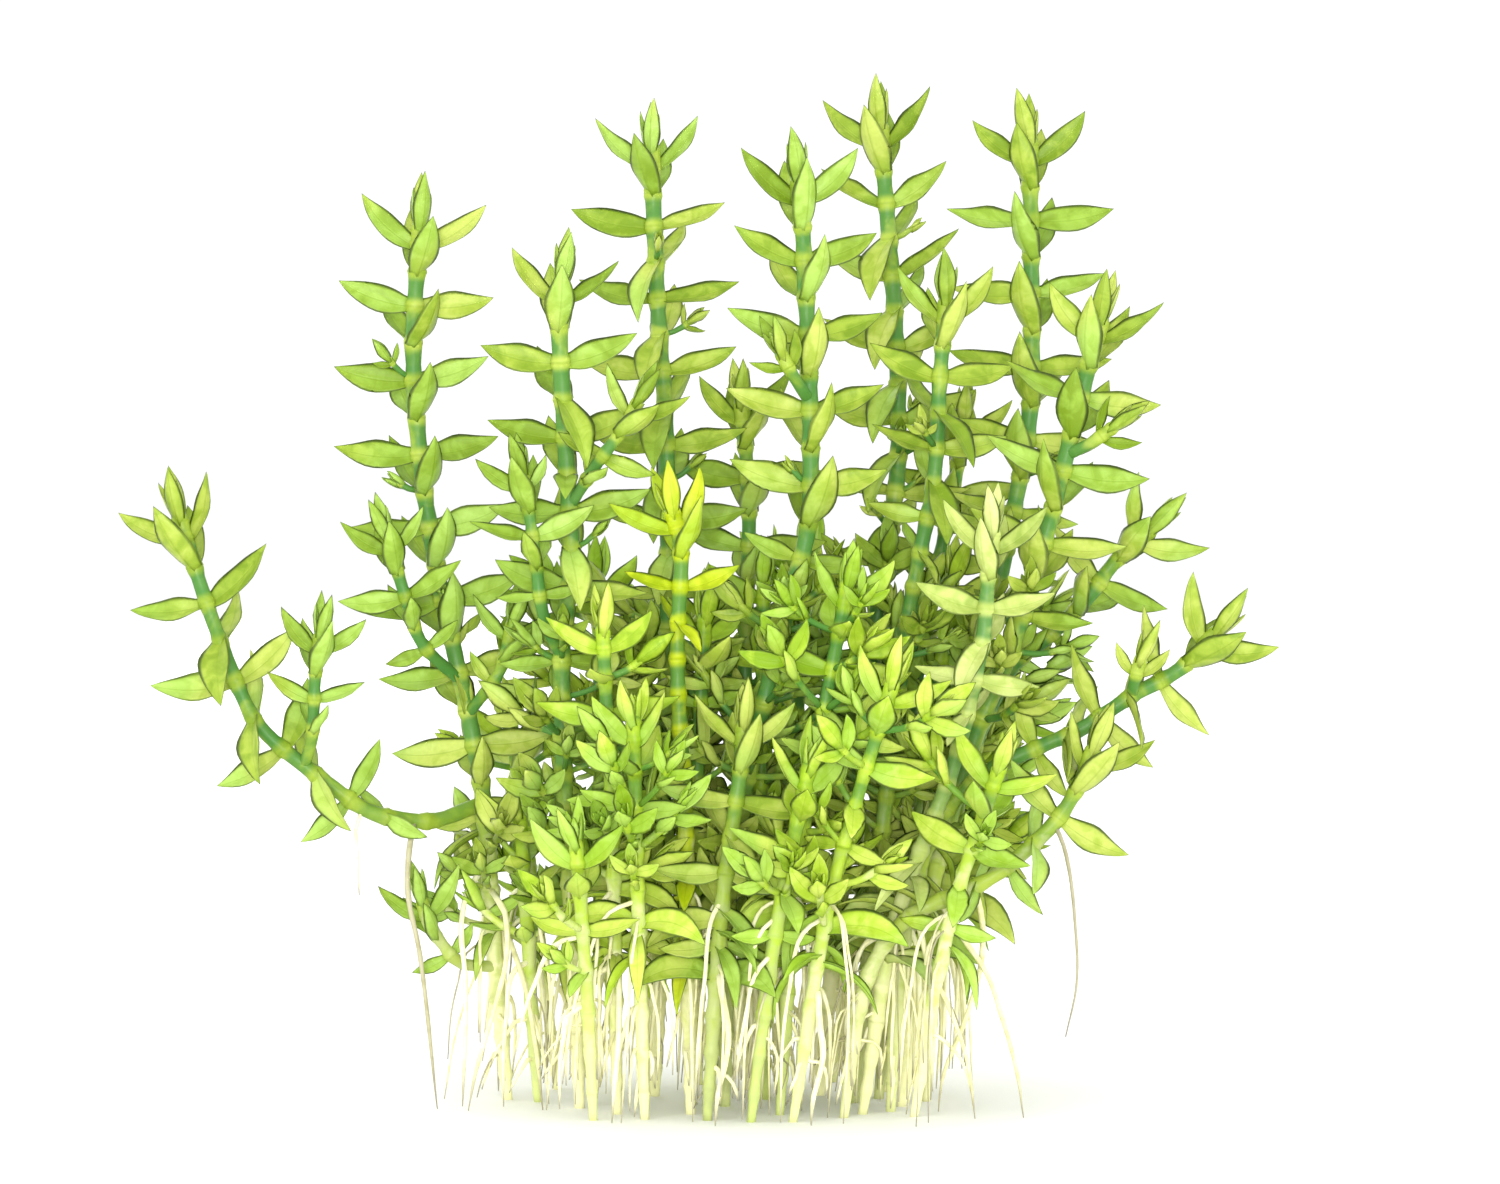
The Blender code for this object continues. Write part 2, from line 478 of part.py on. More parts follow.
def grow_leaves(shoot, course, start, crowd):
    """The shoot's pairs of leaves from the crown down, each leaf clear of the crowd or left out."""
    draw = random.Random(shoot.name)
    facing = -1 if shoot.route[-1][1] > REAR_FROM and shoot.kind == BUSHY else 1
    distances = [d for d in pair_distances(shoot, course) if d > start + LEAF_BASE_HEIGHT]
    pairs = []
    for k, distance in enumerate(distances):
        along = course.along(distance)
        axes = ring_axes(along, shoot.turn)
        width = thickness(shoot, course, distance)
        share = CROWN_LENGTHS[k] if k < len(CROWN_LENGTHS) else 1.0
        from_foot = len(distances) - 1 - k
        if from_foot < len(FOOT_LENGTHS):
            share = min(share, FOOT_LENGTHS[from_foot])
        leaves = {}
        pair_turn = leaf_turn(shoot, 1 if k % 2 else 0, k, draw)
        for face in ((1, 3) if k % 2 else (0, 2)):
            out = (axes[1], axes[0], -axes[1], -axes[0])[face]
            base = course.at(distance) + out * width / 2
            length = shoot.kind.leaf * share * (1 + draw.uniform(-JITTER_LENGTH, JITTER_LENGTH))
            sway = CROWN_JITTER if k < len(CROWN_RISES) else JITTER_RISE
            tilt = draw.uniform(-sway, sway)
            yaw = pair_turn + draw.uniform(-JITTER_TURN, JITTER_TURN)
            roll = facing * (SIDE_ROLL + draw.uniform(-JITTER_ROLL, JITTER_ROLL))
            rises = leaf_rises(shoot, face, k, len(distances))
            for turn, lift, shrink in LEAF_TRIES:
                leaf = make_leaf(face, base, axes, along, [r + tilt + lift for r in rises], length * shrink,
                                 width, yaw + turn, roll)
                points, faces = leaf_body(leaf, CLEARANCE)
                if min(p.z for p in points) > CLEARANCE and not crowd.meets(points, faces, shoot.name, k):
                    crowd.add(*leaf_body(leaf, 0.0), (shoot.name, k))
                    leaves[face] = leaf
                    break
        pairs.append(Pair(distance, leaves))
    return pairs


def grow_clump():
    """Every piece's course and where on it the piece starts, and each shoot's pairs of leaves."""
    pieces = SHOOTS + ROOTS
    by_name = {p.name: p for p in pieces}
    courses = {name: Course(points) for name, points in grow_apart(pieces).items()}
    crowd = Crowd()
    starts = {}
    for piece in pieces:
        starts[piece.name] = 0.0
        if piece.parent:
            starts[piece.name] = fork_start(piece, courses[piece.name], by_name[piece.parent],
                                            courses[piece.parent], starts[piece.parent])
        crowd.add(*tube(piece, courses[piece.name], starts[piece.name]), (piece.name, None))
    pairs = {s.name: grow_leaves(s, courses[s.name], starts[s.name], crowd) for s in SHOOTS}
    return courses, starts, pairs


def add_leaf(mesh, lower, upper, leaf, notch):
    """Raises a leaf from the stem's side between two rings: flat above, with a keel down to the notch."""
    i, j = leaf.face, (leaf.face + 1) % 4
    _, middle, tip = leaf.spine
    left = mesh.verts.new(middle - leaf.width / 2 * leaf.across)
    right = mesh.verts.new(middle + leaf.width / 2 * leaf.across)
    keel = mesh.verts.new(middle - LEAF_KEEL * leaf.normal)
    under = mesh.verts.new(notch)
    end = mesh.verts.new(tip)
    for corners in ((upper[i], left, right, upper[j]), (under, keel, left), (under, left, upper[i]),
                    (under, upper[j], right), (under, right, keel), (left, end, right), (end, left, keel),
                    (right, end, keel), (lower[i], lower[j], under), (lower[j], upper[j], under),
                    (upper[i], lower[i], under)):
        mesh.faces.new(corners)


def shoot_mesh(shoot, course, start, pairs):
    """The shoot as one closed skin: square stem, leaves from its sides, and a bud on top."""
    first_along = course.along(start) if shoot.parent else Vector((0, 0, 1))
    levels = [(start, first_along, None)]
    bare = pairs[-1].distance - start
    count = max(1, round(bare / BARE_RING_GAP))
    for i in range(1, count):
        distance = start + bare * i / count
        levels.append((distance, course.along(distance), None))
    for pair in reversed(pairs):
        levels.append((pair.distance + LEAF_BASE_HEIGHT / 2, course.along(pair.distance), pair))
    mesh = bmesh.new()
    lower = None
    for distance, along, pair in levels:
        width = thickness(shoot, course, distance)
        upper = [mesh.verts.new(p) for p in ring(course.at(distance), along, shoot.turn, width)]
        if lower is None:
            mesh.faces.new(reversed(upper))
        else:
            for i in range(4):
                leaf = pair.leaves.get(i) if pair else None
                if leaf:
                    notch = (upper[i].co + upper[(i + 1) % 4].co) / 2 - LEAF_BASE_HEIGHT * along
                    add_leaf(mesh, lower, upper, leaf, notch)
                else:
                    mesh.faces.new((lower[i], lower[(i + 1) % 4], upper[(i + 1) % 4], upper[i]))
        lower = upper
    bud = mesh.verts.new(course.at(course.length) + course.along(course.length) * BUD_HEIGHT)
    for i in range(4):
        mesh.faces.new((lower[i], lower[(i + 1) % 4], bud))
    return mesh


def root_mesh(root, course, start):
    points, faces = tube(root, course, start)
    mesh = bmesh.new()
    made = [mesh.verts.new(p) for p in points]
    for face in faces:
        mesh.faces.new([made[i] for i in face])
    return mesh


def make_material(name, colour, roughness):
    material = bpy.data.materials.new(name)
    material.use_nodes = True
    shader = material.node_tree.nodes["Principled BSDF"]
    shader.inputs["Base Color"].default_value = (*colour, 1)
    shader.inputs["Roughness"].default_value = roughness
    shader.inputs["Metallic"].default_value = 0.0
    return material


LEAF_GREEN = (0.36, 0.55, 0.10)
YELLOW_GREEN = (0.52, 0.62, 0.02)
PALE_GREEN = (0.55, 0.68, 0.20)
DEEP_GREEN = (0.22, 0.42, 0.06)
ROOT_CREAM = (0.88, 0.84, 0.60)


def shoot_colour(name):
    if name.endswith("yellow"):
        return YELLOW_GREEN
    if name.endswith("pale"):
        return PALE_GREEN
    return DEEP_GREEN if name.startswith("bushy") else LEAF_GREEN


def add_object(name, mesh, shift, colour, roughness):
    """Puts the piece into the scene in metres, with the clump's middle over the origin."""
    bmesh.ops.translate(mesh, verts=mesh.verts, vec=shift)
    bmesh.ops.scale(mesh, verts=mesh.verts, vec=(MM, MM, MM))
    data = bpy.data.meshes.new(name)
    mesh.to_mesh(data)
    mesh.free()
    data.materials.append(make_material(name, colour, roughness))
    data.shade_smooth()
    data.set_sharp_from_angle(angle=math.radians(SMOOTH_BELOW))
    bpy.context.scene.collection.objects.link(bpy.data.objects.new(name, data))


def main():
    for old in list(bpy.data.objects):
        bpy.data.objects.remove(old)
    courses, starts, pairs = grow_clump()
    meshes = {}
    for shoot in SHOOTS:
        meshes[shoot.name] = shoot_mesh(shoot, courses[shoot.name], starts[shoot.name], pairs[shoot.name])
    for root in ROOTS:
        meshes[root.name] = root_mesh(root, courses[root.name], starts[root.name])
    every = [v.co for mesh in meshes.values() for v in mesh.verts]
    shift = Vector([-(min(p[i] for p in every) + max(p[i] for p in every)) / 2 for i in (0, 1)] + [0.0])
    for name, mesh in meshes.items():
        is_root = name.startswith("root")
        colour = ROOT_CREAM if is_root else shoot_colour(name)
        add_object(name, mesh, shift, colour, ROOT_ROUGHNESS if is_root else LEAF_ROUGHNESS)
    planned = sum(2 * len(p) for p in pairs.values())
    grown = sum(len(pair.leaves) for p in pairs.values() for pair in p)
    print("leaves", grown, "of", planned, "shift", tuple(round(v, 3) for v in shift))


main()
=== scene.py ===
"""The looks of a rooted clump of gratiola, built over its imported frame.

Sizes are in millimetres and angles in degrees until the meshes are made. The layout, from the tables of
shoots and roots to where every leaf goes, is the one that the frame's solids were grown by, so that each
piece lies where its solid does. A piece replaces one solid: a stem with its leaves, or a root. Side sprigs,
hanging leaves and small leaves round the buds are added to the stems, and four more pieces hold the fine
roots. Sprigs and hanging leaves grow only where they clear all that is there already.
"""

import json
import math
import random
from collections import namedtuple

import bpy
import numpy as np
from mathutils import Matrix, Vector
from mathutils.bvhtree import BVHTree

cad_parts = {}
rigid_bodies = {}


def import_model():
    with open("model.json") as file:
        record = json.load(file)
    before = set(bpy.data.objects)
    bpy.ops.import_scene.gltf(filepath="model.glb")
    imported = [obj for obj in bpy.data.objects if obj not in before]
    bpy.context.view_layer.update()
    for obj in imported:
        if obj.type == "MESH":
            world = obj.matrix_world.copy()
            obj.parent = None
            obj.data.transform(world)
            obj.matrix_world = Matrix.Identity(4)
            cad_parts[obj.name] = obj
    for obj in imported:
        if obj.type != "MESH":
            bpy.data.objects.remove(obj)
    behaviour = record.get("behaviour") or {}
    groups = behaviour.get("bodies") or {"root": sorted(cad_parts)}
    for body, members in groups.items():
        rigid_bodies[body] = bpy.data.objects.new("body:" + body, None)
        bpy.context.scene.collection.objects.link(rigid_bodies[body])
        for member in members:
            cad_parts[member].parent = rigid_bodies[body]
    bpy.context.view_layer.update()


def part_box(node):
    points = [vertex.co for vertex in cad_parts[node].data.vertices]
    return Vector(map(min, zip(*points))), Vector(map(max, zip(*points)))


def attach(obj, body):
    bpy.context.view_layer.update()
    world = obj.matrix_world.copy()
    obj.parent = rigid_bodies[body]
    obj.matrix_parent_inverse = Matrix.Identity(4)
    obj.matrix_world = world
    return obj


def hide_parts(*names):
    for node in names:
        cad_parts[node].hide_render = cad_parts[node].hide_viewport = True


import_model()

MM = 0.001

# Leaves
SIDE_WIDTH_SHARE = 0.42
FRONT_WIDTH_SHARE = 0.45
LEAF_KEEL = 0.55
LEAF_BASE_HEIGHT = 1.1
WIDEST_AT = 0.42
CROWN_LENGTHS = (0.78, 0.94, 0.97)
CROWN_RISES = (76, 50, 64)
BUSHY_CROWN_RISES = (70, 42, 28)
FOOT_LENGTHS = (0.62, 0.8)
SIDE_ROLL = 54
REAR_FROM = 15
BACK_RISE = 50
BUSHY_BACK_RISE = 12
UPTURN = 14
CROWN_BEND = (-10, 8)
FRONT_BEND = (0.92, 1.36)
BACK_BEND = (-12, 8)
JITTER_RISE = 7
CROWN_JITTER = 12
JITTER_TURN = 8
FRONT_TURNS = (20, 42)
TOP_TURN_SHARE = 0.5
BUSHY_TURN = 26
JITTER_ROLL = 14
JITTER_LENGTH = 0.07

# Stems
CROWN_GAPS = (0.2, 0.4, 0.72, 0.92)
TIP_TAPER = 0.93
FOOT_TAPER = 0.6
FOOT_REACH = 17.0
BUD_HEIGHT = 1.6
LOWEST_PAIR = 4.0
SAMPLE_STEP = 2.0
TANGENT_REACH = 1.5
HALF_DIAGONAL = 0.71
CLEARANCE = 0.3
STEM_CLEARANCE = 0.7
GROW_APART_ROUNDS = 60
SMOOTHINGS = 4
PUSH_WAYS = (0.45, 1.0, 0.0)
TOUCHING = 0.05
JOINT_REACH = 9.0
FORK_STEP = 0.2
FORK_TEST_LENGTH = 4.0
LONGEST_FORK = 6.0
RING_GAP = 8.0
FLOOR_REACH = 0.5

# A kind's stem is its thickness, its leaf is the length of a full leaf, and its gap is from pair to pair.
Kind = namedtuple("Kind", "stem leaf gap")
TALL = Kind(stem=2.7, leaf=11.8, gap=5.9)
MIDDLE = Kind(stem=2.4, leaf=11.0, gap=5.6)
BUSHY = Kind(stem=2.1, leaf=10.8, gap=6.4)
SIDE = Kind(stem=1.9, leaf=9.6, gap=4.7)
RUNNER = Kind(stem=2.4, leaf=11.8, gap=6.6)

# A shoot's route goes from its foot to the base of its crown. Its parent is the stem that it forks from.
# pairs counts its pairs of leaves from the crown down, upper and lower are how far the side leaves rise
# above square to the stem, front is the same for the leaves that face the viewer, and turn twists them
# all. A rooted stem has no parent, and its table gives the fields from pairs on.
Shoot = namedtuple("Shoot", "name parent kind pairs upper lower front turn route")

TALL_STEMS = {
    "stem_far_left_tall": (18, 14, -4, 52, 4, (
        (-30.5, 2, 0), (-32.6, 2, 25), (-34.2, 1, 47.7), (-36.6, 0, 62), (-41, -1, 82.7),
        (-43.8, -2, 101), (-45, -3, 120), (-43.7, -4, 140))),
    "stem_left_tall": (13, 22, -6, -48, -6, (
        (-18.6, -8, 0), (-19.4, -8, 25), (-20.9, -9, 50), (-21.2, -10, 73), (-19.7, -11, 86),
        (-20.7, -12, 107), (-21.5, -13, 124), (-21, -13, 131))),
    "stem_mid_left_tall": (14, 14, 6, -52, 0, (
        (-7, 6, 0), (-6, 6, 30), (-5.4, 6, 60), (-4.8, 7, 80), (-5.2, 8, 108), (-6.5, 10, 127),
        (-7.6, 13, 153))),
    "stem_mid_right_tall": (13, 26, 4, 56, 5, (
        (4.4, -6, 0), (4.9, -6, 34), (7.5, -7, 50), (13.8, -9, 78), (17.5, -9, 92), (17.8, -9, 110),
        (16.9, -8, 134), (16, -8, 147))),
    "stem_tallest": (14, 30, 8, -50, -4, (
        (19.6, 7, 0), (22, 8, 24), (24.6, 10, 48), (27.8, 11, 70), (31.3, 13, 92.5), (32.4, 15, 105),
        (31.9, 17, 125), (29.5, 20, 157))),
    "stem_right_tall": (13, 12, 6, 58, 2, (
        (29, 3, 0), (32, 3, 30), (38, 4, 52), (46, 5, 74), (51.4, 6, 98), (53.4, 7, 112),
        (53.5, 8, 135), (53.2, 9, 154))),
    "stem_outer_right": (11, 16, 2, 50, -5, (
        (32.4, -6, 0), (36, -7, 30), (43, -8, 56), (50, -9, 74), (55, -10, 91), (59.9, -11, 111),
        (63.4, -12, 125))),
}

MIDDLE_STEMS = {
    "stem_inner_right": (9, 18, 6, -40, 6, (
        (25, -2, 0), (29, -3, 40), (33.4, -4, 77), (37.4, -5, 99), (38.3, -5, 114), (39.4, -4, 128))),
    "stem_inner_right_low": (7, 24, 8, 52, 0, (
        (26, 16, 0), (31, 17, 40), (37, 18, 75), (41.2, 17, 96), (43, 16, 109))),
    "stem_middle_thin": (8, 16, 4, 50, -8, (
        (8, 14, 0), (7.4, 14, 40), (7.6, 13, 72), (8.2, 12, 94), (7, 11, 112))),
    "stem_front_yellow": (5, 20, -8, -30, 6, (
        (-1, -15, 0), (-1.5, -15, 40), (-3, -15, 70), (-2.4, -15, 88), (-4, -15, 95))),
    "stem_front_pale": (7, 12, -6, -48, 4, (
        (26, -15, 0), (31, -17, 30), (40, -19, 55), (44.2, -20, 73), (45, -20, 80), (46, -20, 92))),
    "branch_right_high": (7, 12, 0, 40, 5, (
        (36.5, 0, 0), (38, -1, 25), (42, -2, 50), (49, -2, 68), (55.3, -2, 74), (61.5, -3, 80),
        (66, -3, 86), (72.3, -4, 92))),
    "branch_right_low": (9, 10, 4, -20, 0, (
        (30.5, -12, 0), (32, -13, 25), (37, -14, 44), (44.6, -14, 53), (53.2, -14, 57.4),
        (60.4, -14, 60.5), (68.1, -14, 65.6), (75.8, -13, 69.8), (82, -13, 76))),
    "branch_right_lowest": (7, 10, 0, -30, 0, (
        (23, -19, 0), (26, -20, 20), (32.4, -21, 31), (43.1, -21, 36.2), (47.9, -21, 39.2),
        (55.6, -20, 46), (59.6, -20, 52.3), (62, -19, 58))),
    "stem_front_short": (9, 4, -12, -35, 4, (
        (1.7, -22, 0), (3, -23, 20), (4.4, -23, 37), (6.8, -23, 54), (7.5, -22, 62))),
}

BUSHY_STEMS = (
    (6, 14, 0, -36, 12, ((-12.5, -15, 0), (-13, -17, 40), (-14.6, -19, 77))),
    (5, 12, 0, -20, -18, ((-8, -21, 0), (-9, -23, 35), (-9.6, -25, 63))),
    (5, 16, 4, 44, 20, ((-1, -3, 0), (-0.5, -3, 40), (1.2, -3, 78))),
    (5, 16, 4, 30, -14, ((11, 2, 0), (10, 3, 40), (10.6, 3, 84))),
    (6, 14, 0, -30, 16, ((13, -16, 0), (16, -18, 40), (23.6, -20, 84))),
    (6, 10, -4, -24, -10, ((15, -24, 0), (21, -26, 36), (30.5, -28, 69))),
    (6, 10, -6, -30, 24, ((8.5, -24, 0), (12, -27, 28), (17.5, -29, 56))),
    (6, 14, 2, 36, 10, ((30, 11, 0), (35, 11, 40), (41, 9, 84))),
    (5, 14, 0, 40, -16, ((-13, 13, 0), (-15.5, 16, 40), (-16.5, 19, 84))),
    (5, 12, 0, 36, 14, ((0, 20, 0), (0, 25, 40), (1.5, 30, 79))),
    (5, 12, 0, 40, -12, ((13, 20, 0), (15, 24, 40), (18, 28, 87))),
    (5, 12, -4, 34, 18, ((22, 23, 0), (28, 27, 38), (36, 31, 74))),
    (5, 8, -6, 30, -20, ((-25.5, -1, 0), (-27, -3, 24), (-28, -6, 47))),
    (5, 12, -4, 30, 14, ((-23, 14, 0), (-27, 18, 32), (-31, 22, 60))),
    (5, 8, -8, -26, -8, ((-16, -22, 0), (-17, -24, 22), (-18.5, -26, 44))),
    (5, 12, -2, 30, 10, ((33, 16, 0), (41, 20, 36), (51, 23, 66))),
    (6, 8, -6, -28, -12, ((34, -18, 0), (39, -24, 30), (47, -28, 56))),
)

SIDE_SHOOTS = (
    Shoot("runner_left", "stem_far_left_tall", RUNNER, 11, 20, 10, -44, 0, (
        (-34.2, 1, 47.7), (-41.4, -4, 45.3), (-46.3, -6, 45.6), (-51.6, -8, 46.9), (-57.4, -9, 50.9),
        (-67.9, -10, 59.5), (-71.9, -10, 66.1), (-76.9, -9, 79), (-81.8, -8, 94))),
    Shoot("side_shoot_runner", "runner_left", SIDE, 5, 26, 14, 45, 8, (
        (-62, -9.5, 54.6), (-60.4, -12, 59.5), (-59.8, -13, 68.8), (-59, -13, 75.5))),
    Shoot("side_shoot_left_inner", "stem_far_left_tall", SIDE, 6, 18, 0, 42, -6, (
        (-38, -0.5, 67.5), (-43.4, -6, 73.3), (-45.8, -8, 80.3), (-48.9, -9, 91))),
    Shoot("side_shoot_left_right", "stem_far_left_tall", SIDE, 4, 20, 6, 45, 0, (
        (-36.4, 0, 61.3), (-33.7, -4, 65.3), (-31.1, -5, 69.3), (-29.2, -5, 77))),
    Shoot("side_shoot_left_low", "stem_far_left_tall", SIDE, 4, 20, 0, 40, 0, (
        (-32.2, 2, 20.6), (-37.8, -3, 22.4), (-40.6, -5, 25.9), (-42.6, -6, 29), (-43.7, -6, 33))),
    Shoot("side_shoot_leaning", "stem_left_tall", SIDE, 5, 16, 10, 48, 0, (
        (-20.1, -11.5, 96), (-15.3, -15, 102.4), (-11.4, -16, 107.5), (-9, -16, 112))),
    Shoot("side_shoot_upright", "stem_left_tall", SIDE, 6, 18, 0, 46, 6, (
        (-21.2, -10, 71), (-24, -13, 78), (-25.4, -14, 88.8), (-27.2, -14, 101))),
    Shoot("side_shoot_mid_right", "stem_mid_right_tall", SIDE, 3, 20, 10, 40, 0, (
        (17.9, -9, 112.5), (15.3, -12, 115.8), (13, -13, 119.6))),
    Shoot("side_shoot_outer_right", "stem_outer_right", SIDE, 3, 16, 10, 44, 0, (
        (58.5, -10.8, 103.2), (62, -13, 105.2), (65.6, -14, 108))),
    Shoot("side_shoot_branch_low", "branch_right_low", SIDE, 3, 26, 20, 44, 0, (
        (68.1, -14, 65.6), (68.5, -16, 68.5), (69.5, -17, 72))),
)

BACK_SHOOT = Shoot("side_shoot_back", "bushy_stem_11", SIDE, 4, 24, 4, 40, 0, (
    (15.5, 25, 47), (15, 31, 50), (14, 36, 55), (13.5, 39.5, 62)))

SHOOTS = (
    *(Shoot(name, None, TALL, *fields) for name, fields in TALL_STEMS.items()),
    *(Shoot(name, None, MIDDLE, *fields) for name, fields in MIDDLE_STEMS.items()),
    *SIDE_SHOOTS,
    *(Shoot(f"bushy_stem_{i}", None, BUSHY, *fields) for i, fields in enumerate(BUSHY_STEMS, 1)),
    BACK_SHOOT,
)

# The shoots whose front leaves lean to the viewer's left, where the others' lean to the right
FRONT_LEFT = {"stem_mid_left_tall", "stem_tallest", "stem_right_tall", "stem_outer_right",
              "stem_inner_right_low", "stem_front_pale", "branch_right_high", "runner_left",
              "side_shoot_upright"}

# A root's route goes from the middle of the stem that it leaves down to its tip, and thin is its width there.
Root = namedtuple("Root", "name parent kind thin route turn", defaults=(0,))
THICK_ROOT = Kind(stem=1.2, leaf=0, gap=0)
LONG_ROOT = Kind(stem=1.05, leaf=0, gap=0)
FINE_ROOT = Kind(stem=0.7, leaf=0, gap=0)

ROOTS = (
    Root("root_runner_left", "runner_left", LONG_ROOT, 0.6, (
        (-44, -5, 45.4), (-44.8, -9, 42), (-45, -11, 34), (-43, -11, 20), (-41, -10, 0))),
    Root("root_runner_end", "runner_left", FINE_ROOT, 0.35, (
        (-53, -8.4, 47.5), (-53.4, -10, 44), (-53.5, -10.5, 40), (-53.2, -10.5, 34))),
    Root("root_left_1", "stem_far_left_tall", LONG_ROOT, 0.7, (
        (-33.6, 1, 39), (-36, -3, 35), (-37, -6, 28), (-36.6, -7, 16), (-37.2, -7, 0))),
    Root("root_left_2", "stem_far_left_tall", LONG_ROOT, 0.7, (
        (-33.2, 1, 34), (-30.6, -4, 32), (-29.6, -8, 28), (-30.8, -11, 20), (-34.6, -12, 7),
        (-36, -12, 0))),
    Root("root_left_3", "stem_far_left_tall", LONG_ROOT, 0.7, (
        (-32.7, 2, 29), (-29.5, -3, 26), (-27.4, -8, 21), (-25.4, -11, 10), (-24.3, -11, 0))),
    Root("root_right_1", "branch_right_lowest", LONG_ROOT, 0.7, (
        (43, -21, 36.2), (44.4, -17.5, 33), (45, -15, 27), (43, -14, 17), (38.8, -13, 6), (38, -13, 0))),
    Root("root_right_2", "branch_right_lowest", LONG_ROOT, 0.6, (
        (38, -21.2, 33.8), (42, -21.5, 28), (45.5, -21, 22), (49.6, -20, 9), (51, -20, 0))),
    Root("root_right_thin", "branch_right_lowest", FINE_ROOT, 0.35, (
        (56, -20, 46.5), (57.4, -22, 43), (58.6, -22.5, 33), (59.2, -22, 22), (57.4, -22, 13))),
    Root("root_right_4", "branch_right_lowest", LONG_ROOT, 0.6, (
        (33.6, -21, 31.4), (36, -22, 26), (38, -21.5, 20), (42, -21, 10), (43.4, -21, 0))),
    Root("root_front_1", "bushy_stem_1", THICK_ROOT, 0.8, (
        (-12.7, -16, 26), (-12, -20, 21), (-12, -24.5, 13), (-12.6, -26, 6), (-13, -26, 0))),
    Root("root_front_2", "stem_front_short", THICK_ROOT, 0.8, (
        (3.2, -23, 24), (4.4, -26, 19), (5, -28, 12), (3.4, -29, 5), (3, -29, 0))),
    Root("root_front_3", "bushy_stem_6", THICK_ROOT, 0.8, (
        (17.8, -25, 22), (19.4, -27, 16), (19.6, -28, 10), (18, -28.5, 4), (17.8, -28.5, 0))),
    Root("root_back_1", "bushy_stem_9", THICK_ROOT, 0.8, (
        (-14, 14.6, 24), (-16.6, 18, 19), (-17.6, 20, 12), (-18, 21, 5), (-18, 21, 0))),
    Root("root_back_2", "bushy_stem_11", THICK_ROOT, 0.8, (
        (14, 22, 26), (11, 23, 20), (8.6, 25, 12), (7.4, 26, 5), (7, 26, 0))),
    Root("root_back_3", "bushy_stem_12", THICK_ROOT, 0.8, (
        (25.6, 25.4, 24), (28, 23.6, 18), (30, 22.6, 11), (31, 23, 4), (31, 23, 0))),
    Root("root_back_4", "stem_far_left_tall", THICK_ROOT, 0.8, (
        (-32.8, 2, 33), (-32.6, 6, 28), (-32, 9.6, 18), (-32.4, 11, 6), (-32.4, 11, 0))),
)

# Tries for a leaf that would cut through something: a turn about the stem, a change of rise, a share of
# its length
LEAF_TRIES = (
    (0, 0, 1), (12, 0, 1), (-12, 0, 1), (0, 14, 1), (0, -14, 1), (20, 14, 1), (-20, 14, 1),
    (20, -14, 0.95), (-20, -14, 0.95), (0, 28, 0.9), (0, -28, 0.9), (32, 0, 0.9), (-32, 0, 0.9),
    (30, 28, 0.8), (-30, 28, 0.8), (30, -28, 0.8), (-30, -28, 0.8), (0, 44, 0.7), (0, -44, 0.7),
    (0, 0, 0.6), (26, 30, 0.55), (-26, 30, 0.55),
)

# Sprigs, which are too small and too many for solids of their own
SPRIG = Kind(stem=1.1, leaf=9.4, gap=4.2)
TUFTED = Kind(stem=0.95, leaf=6.6, gap=2.9)
SPROUT = Kind(stem=0.9, leaf=5.0, gap=2.4)
SPRIG_LENGTHS = {SPRIG: (7.0, 14.0), TUFTED: (6.0, 11.0), SPROUT: (4.0, 6.5)}
SPRIG_SHARE = 0.72
TUFTED_SHARE = 0.35
SPROUT_SHARE = 0.16
SPRIG_HEIGHTS = (22.0, 80.0)
LOWEST_SPRIG_NODE = 26.0
FIRST_SPRIG_PAIR = 2
FIRST_SPROUT_PAIR = 4
SPRIG_RISES = (12, 60)
SPRIG_TURNS = (-40, 40)
SPRIG_UPTURN = 0.35
SPRIG_SINK = 0.4
SPRIG_SAMPLE_STEP = 1.0
SPRIG_TRIES = 4
SPRIG_LEAF_TRIES = 9
SPRIG_ROOT = 1.1
SPRIG_CLEARANCE = 0.08
SPRIG_BUD = 0.8
BARE_SHOOTS = {"stem_front_yellow", "stem_front_pale", "stem_front_short", "branch_right_high",
               "branch_right_low", "branch_right_lowest"}

# Hanging leaves, low on the rooted stems: straps and broad ones, which stand out more
HangingKind = namedtuple("HangingKind", "heights rises roll width_share")
STRAP = HangingKind(heights=(25.0, 44.0), rises=(-82, -35), roll=0, width_share=0.24)
BROAD = HangingKind(heights=(24.0, 40.0), rises=(-55, 12), roll=SIDE_ROLL, width_share=0.40)
BROAD_SHARE = 0.45
HANGING_COUNT = 9
HANGING_TRIES = 8
HANGING_ZONE = (0.06, 0.5)
HANGING_LENGTHS = (8.5, 13.5)
HANGING_TURNS = (-40, 40)
HANGING_DROOP = 30
HANGING_FOOT = 0.6
FIRST_HANGING = 100

# The broad pairs of leaves in front at the foot, each leaf turned to the viewer by the first of the turns
# that has room
FootPair = namedtuple("FootPair", "host height left_rise right_rise length")
FOOT_PAIRS = (
    FootPair("stem_front_short", 23.0, -28, -24, 13.0),
    FootPair("bushy_stem_1", 27.0, -12, -34, 10.0),
    FootPair("bushy_stem_2", 31.0, -18, -30, 11.5),
    FootPair("bushy_stem_5", 24.0, -36, -20, 9.0),
    FootPair("bushy_stem_7", 30.0, -30, -8, 11.0),
)
FOOT_TURNS = (10, 24, 38, 52, 66)
FOOT_DROOP = 34
HEIGHT_STEPS = 200

